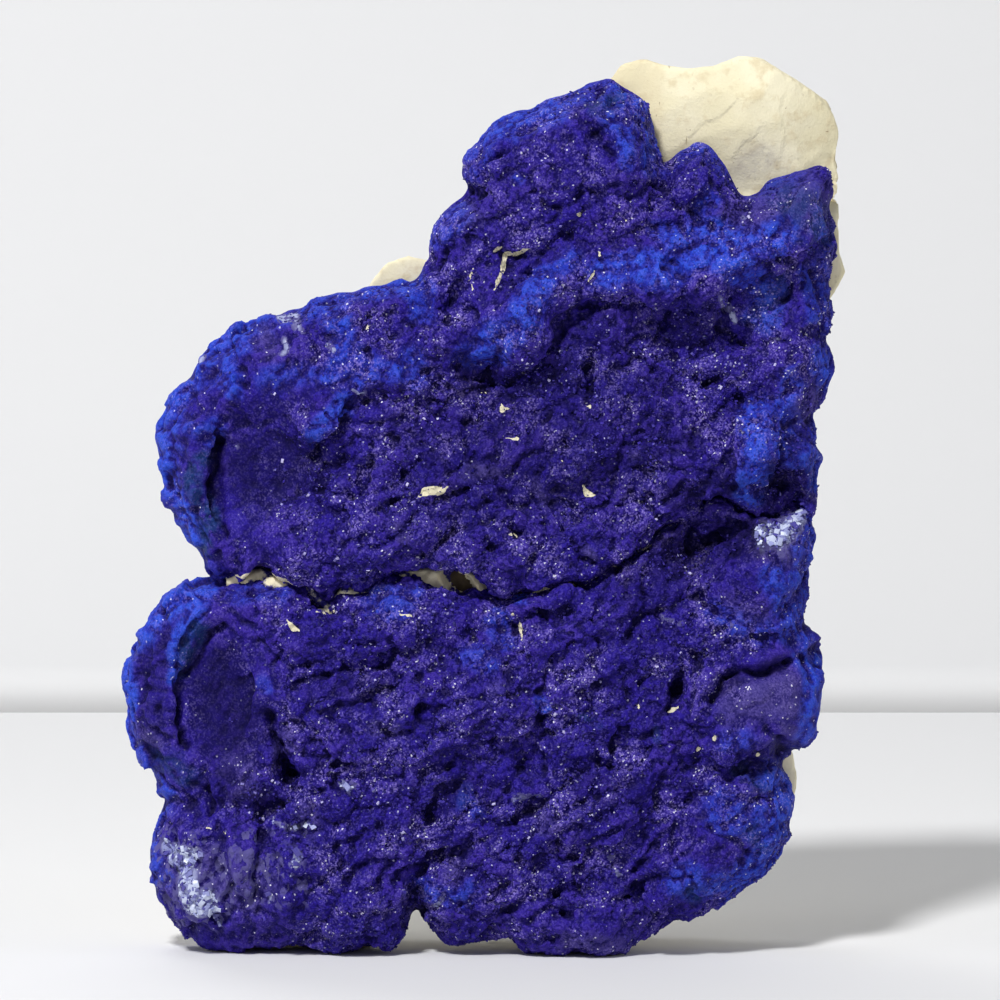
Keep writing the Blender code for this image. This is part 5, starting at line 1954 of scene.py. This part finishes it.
    steps = forms(
        Ledge,
        (1.1, 2.2, (-38.9, 29.6), (-39.2, 33.5), (-39.1, 37.6), (-37.6, 41.6), (-34.1, 44.8)),
        (1.3, 3.0, (4.4, 12.4), (8.2, 15.6), (12.6, 18.6)),
        (1.0, 2.4, (13.0, 14.0), (16.4, 15.6), (20.2, 19.4)),
        (0.8, 2.2, (18.0, 11.6), (20.6, 14.6), (24.2, 18.6)),
        (1.0, 2.4, (3.6, 5.0), (7.4, 6.6), (12.0, 7.6)),
        (1.5, 2.6, (26.8, 33.0), (28.2, 35.0), (30.4, 36.7), (34.6, 37.4), (38.6, 38.4)),
        (1.1, 2.2, (28.2, 26.0), (31.0, 25.6), (34.4, 26.8)),
        (1.0, 2.4, (-22.0, 31.6), (-16.0, 33.0), (-11.0, 35.4)),
        (0.9, 2.2, (-10.0, 25.0), (-6.0, 27.0), (-1.0, 28.2)),
        (0.9, 2.2, (10.0, 33.6), (14.0, 35.6), (18.6, 38.4)),
        (0.8, 2.0, (-20.0, 14.0), (-16.0, 15.6), (-12.0, 18.6)),
    )
    patches = [
        *zones(
            Surface.AZURE,
            (1.3, 0.95, (-34.6, 46.8), (-38.6, 45.4), (-42.0, 41.8), (-44.6, 37.0), (-45.4, 32.0),
             (-45.2, 28.0)),
            (1.0, 0.90, (-35.2, 44.8), (-37.6, 42.3), (-38.7, 39.8), (-39.2, 36.0)),
            (1.0, 0.70, (-41.8, 24.0), (-40.2, 20.6)),
            (1.6, 0.35, (-31.0, 45.6), (-27.0, 45.6)),
            (1.2, 0.45, (-26.8, 34.6),),
            (1.8, 0.50, (-14.0, 45.6), (-9.6, 45.4)),
            (1.4, 0.50, (1.0, 42.6), (2.4, 41.0)),
            (0.8, 0.90, (4.4, 44.8),),
            (0.9, 0.80, (6.8, 33.2), (7.4, 32.6)),
            (1.6, 0.40, (-2.0, 38.6), (0.0, 38.0)),
            (1.6, 0.60, (36.0, 48.0), (37.6, 44.0), (38.4, 41.0)),
            (1.0, 0.60, (39.0, 51.0), (39.8, 46.0)),
            (2.0, 0.40, (30.0, 42.6), (35.0, 41.0)),
            (1.3, 1.00, (40.4, 37.6), (41.2, 34.0), (40.6, 30.4)),
            (1.6, 0.35, (32.0, 27.6), (30.0, 28.0)),
            (2.2, 0.80, (36.6, 22.6), (37.4, 19.0), (36.2, 16.0), (34.0, 12.4), (30.0, 9.0)),
            (2.2, 0.45, (29.0, 19.0), (33.0, 17.6)),
            (1.6, 0.50, (26.0, 9.0), (24.0, 11.0)),
            (1.4, 0.50, (-3.0, 20.0), (-1.4, 19.0)),
            (1.6, 0.45, (-8.4, 8.6), (-2.0, 8.4)),
            (1.2, 0.50, (-41.2, 13.0), (-40.6, 9.4)),
        ),
        *zones(
            Surface.TEAL,
            (1.2, 0.90, (-35.6, 42.6), (-36.9, 39.6), (-37.8, 37.0)),
            (1.6, 0.60, (-40.0, 26.0), (-37.6, 23.6)),
            (1.2, 0.60, (33.0, 23.4), (34.4, 21.6)),
            (1.2, 0.50, (33.4, 16.4), (34.6, 14.0)),
            (1.4, 0.70, (25.4, 8.8), (27.0, 7.6)),
            (0.8, 0.80, (12.4, 31.0), (13.8, 30.4)),
            (0.9, 0.70, (20.6, 28.4),),
        ),
        *zones(
            Surface.GREY,
            (3.0, 0.80, (30.6, 33.0), (37.0, 33.6)),
            (2.4, 0.90, (35.0, 52.6), (38.0, 51.0)),
            (1.6, 0.50, (31.6, 44.6), (33.8, 43.6)),
            (1.0, 0.60, (36.6, 29.0), (38.6, 28.4)),
            (3.0, 0.80, (-37.6, 9.6), (-33.6, 11.0), (-30.0, 9.4)), (2.0, 0.60, (-27.0, 10.4),),
            (1.1, 0.60, (-42.6, 27.8), (-40.6, 27.8)),
            (1.6, 0.60, (-23.0, 18.8), (-22.0, 17.0)),
            (1.4, 0.60, (-32.6, 23.4), (-29.6, 25.0), (-30.4, 21.0)),
            (1.2, 0.70, (-25.0, 26.6), (-24.4, 28.4)),
            (1.6, 0.60, (-13.6, 29.4), (-12.0, 28.6)),
            (1.2, 0.70, (-4.6, 12.4), (-3.0, 11.6)),
            (1.0, 0.60, (7.0, 18.2), (8.6, 18.4)),
            (1.4, 0.60, (10.0, 2.0), (17.0, 1.6)),
            (1.6, 0.40, (1.6, 34.4),),
        ),
        # Painted sheen: silvery zones where cleavage faces catch the light.
        *zones(
            Surface.SILVER_SHEEN,
            (1.9, 1.00, (-38.6, 12.4), (-36.4, 12.2), (-37.2, 9.2), (-36.4, 6.4), (-34.4, 7.6)),
            (4.2, 0.38, (-38.0, 12.0), (-36.8, 6.0), (-30.0, 12.0)), (3.0, 0.24, (-25.0, 16.0), (-24.0, 9.0)),
            (0.45, 0.90, (-34.2, 5.6), (-33.8, 4.4)),
            (0.5, 0.80, (-26.4, 17.2), (-25.0, 17.0), (-22.8, 17.2)),
            (0.6, 0.80, (-23.4, 14.4), (-22.6, 13.4)), (0.5, 0.90, (-23.8, 11.4),),
            (0.5, 0.80, (-27.4, 9.0), (-27.2, 7.8)), (0.6, 0.80, (-17.4, 22.6), (-16.4, 22.0)),
            (0.4, 0.80, (-14.0, 22.0),), (2.0, 0.90, (34.8, 53.0), (36.2, 52.6), (38.2, 53.2)),
            (0.5, 0.60, (22.4, 43.6), (24.4, 43.0)), (0.4, 0.50, (30.0, 42.2),),
            (0.35, 0.60, (26.6, 44.8),), (0.6, 0.70, (16.0, 12.2), (16.8, 11.4)),
            (0.4, 0.70, (15.0, 13.8),), (0.6, 0.80, (-6.6, 6.4), (-4.6, 8.4)),
            (0.5, 0.70, (3.8, 20.6), (6.6, 20.8)),
        ),
    ]
    # Painted shade: near-black zones over the cavities and cracks, with a darker tone over the fans' dishes.
    patches += zones(
        Surface.DARK_AND_SHADE,
        (4.6, 0.85, (-33.0, 36.0), (-31.6, 29.0)),
        (2.0, 0.40, (-41.0, 39.0), (-42.0, 33.0), (-41.2, 26.0)),
        (0.8, 0.90, (-27.0, 30.0), (-25.6, 26.0), (-24.4, 22.4)),
        (2.0, 0.70, (-35.0, 22.0), (-28.0, 20.4)),
        (3.4, 1.00, (22.0, 51.6), (28.0, 53.4), (32.6, 53.6)),
        (4.6, 0.60, (19.0, 48.6), (26.0, 51.0)),
        (0.8, 0.80, (24.0, 35.6), (23.4, 33.0)),
        (0.9, 0.80, (28.0, 34.4), (30.2, 36.2), (34.0, 36.8), (37.6, 37.2)),
        (1.8, 0.80, (34.0, 24.6), (38.0, 25.4)),
        (1.6, 1.00, (-9.2, 7.4), (-8.6, 3.6)),
        (1.6, 0.60, (-6.0, 18.6), (-3.4, 21.6)),
        (1.8, 0.50, (-20.0, 33.8), (-12.0, 35.4)),
        (2.0, 0.50, (12.0, 22.6), (18.0, 22.0)),
    )
    flecks = bits(
        (0.30, (-34.9, 16.6), (-34.0, 16.1)), (0.20, (-32.8, 15.7), (-31.8, 15.5)),
        (0.20, (-24.8, 43.0), (-23.8, 41.8), (-22.6, 41.5)), (0.20, (-21.2, 43.7), (-18.8, 43.6)),
        (0.15, (-25.6, 44.2), (-25.3, 43.8)), (0.12, (-10.7, 43.6), (-8.6, 43.6)), (0.20, (3.3, 43.4),),
        (0.26, (4.2, 42.6), (4.4, 40.6)), (0.50, (22.6, 31.0), (23.2, 31.6), (24.0, 31.9)),
        (0.25, (19.0, 31.9),), (0.15, (19.5, 31.0), (19.7, 30.4)), (0.35, (28.6, 28.2),),
        (0.25, (26.4, 26.6),), (0.30, (34.0, 25.9),),
    )
    smooth = [
        (-33.0, 33.5, 7.5, 11.0, 0.85), (-42.0, 33.0, 4.0, 14.0, 1.0), (-34.0, 10.0, 9.0, 8.0, 0.55),
        (34.0, 32.5, 7.0, 5.0, 0.6), (31.0, 15.0, 9.0, 7.0, 0.45), (12.0, 3.0, 8.0, 3.0, 0.4),
        (35.0, 47.0, 6.0, 6.0, 0.4),
    ]
    fans = [
        Fan(-24.5, 33.5, 20.0, 178.0, 74.0, 0.62, 13.6),
        Fan(-26.0, 16.5, 15.0, 228.0, 52.0, 0.80, 8.0),
        Fan(24.0, 33.0, 17.0, 0.0, 34.0, 0.80, 16.0),
    ]
    return Growth(
        "azurite_lower_crust", "azurite_lower", "azurite_lower_crust", LOWER_EDGE, lower_seam(),
        swells, creases, [*ribs, *splits, *steps], smooth, fans, patches, flecks,
        AzuriteFinish("azurite_lower_druse"), seed=202)


def main() -> None:
    """Build every piece in order and report each."""
    logging.basicConfig(level=logging.INFO, format="%(name)s: %(message)s")
    upper, lower = upper_growth(), lower_growth()
    crystal = CrystalFinish("azurite_small_crystals")
    # Painted sheen: mostly pale silvery blocks stand on the zones of silvery sheen.
    silver_sheen = CrystalFinish(
        "azurite_silver_sheen_crystals", dark=(0.07, 0.06, 0.30), light=(0.34, 0.37, 0.66),
        pale=(0.54, 0.59, 0.78), highlight_from=0.55, roughness=0.20)
    pieces = [
        upper, lower,
        CrystalCoat("azurite_upper_crystals", upper.slot, upper, crystal, 6000, 311),
        CrystalCoat("azurite_lower_crystals", lower.slot, lower, crystal, 6000, 312),
        CrystalCoat("azurite_silver_sheen_blocks", lower.slot, lower, silver_sheen, 420, 313, Surface.SILVER_SHEEN,
                    (0.30, 1.20), (0.12, 0.36), 0.30),
        Claystone(), SeamClay(),
    ]
    for piece in pieces:
        piece.build()
        piece.dress()
        LOG.info("%s: %d triangles", piece.name, triangles(piece.piece.data))
    Studio().build()
    LOG.info("studio ready")


if __name__ == "__main__":
    main()
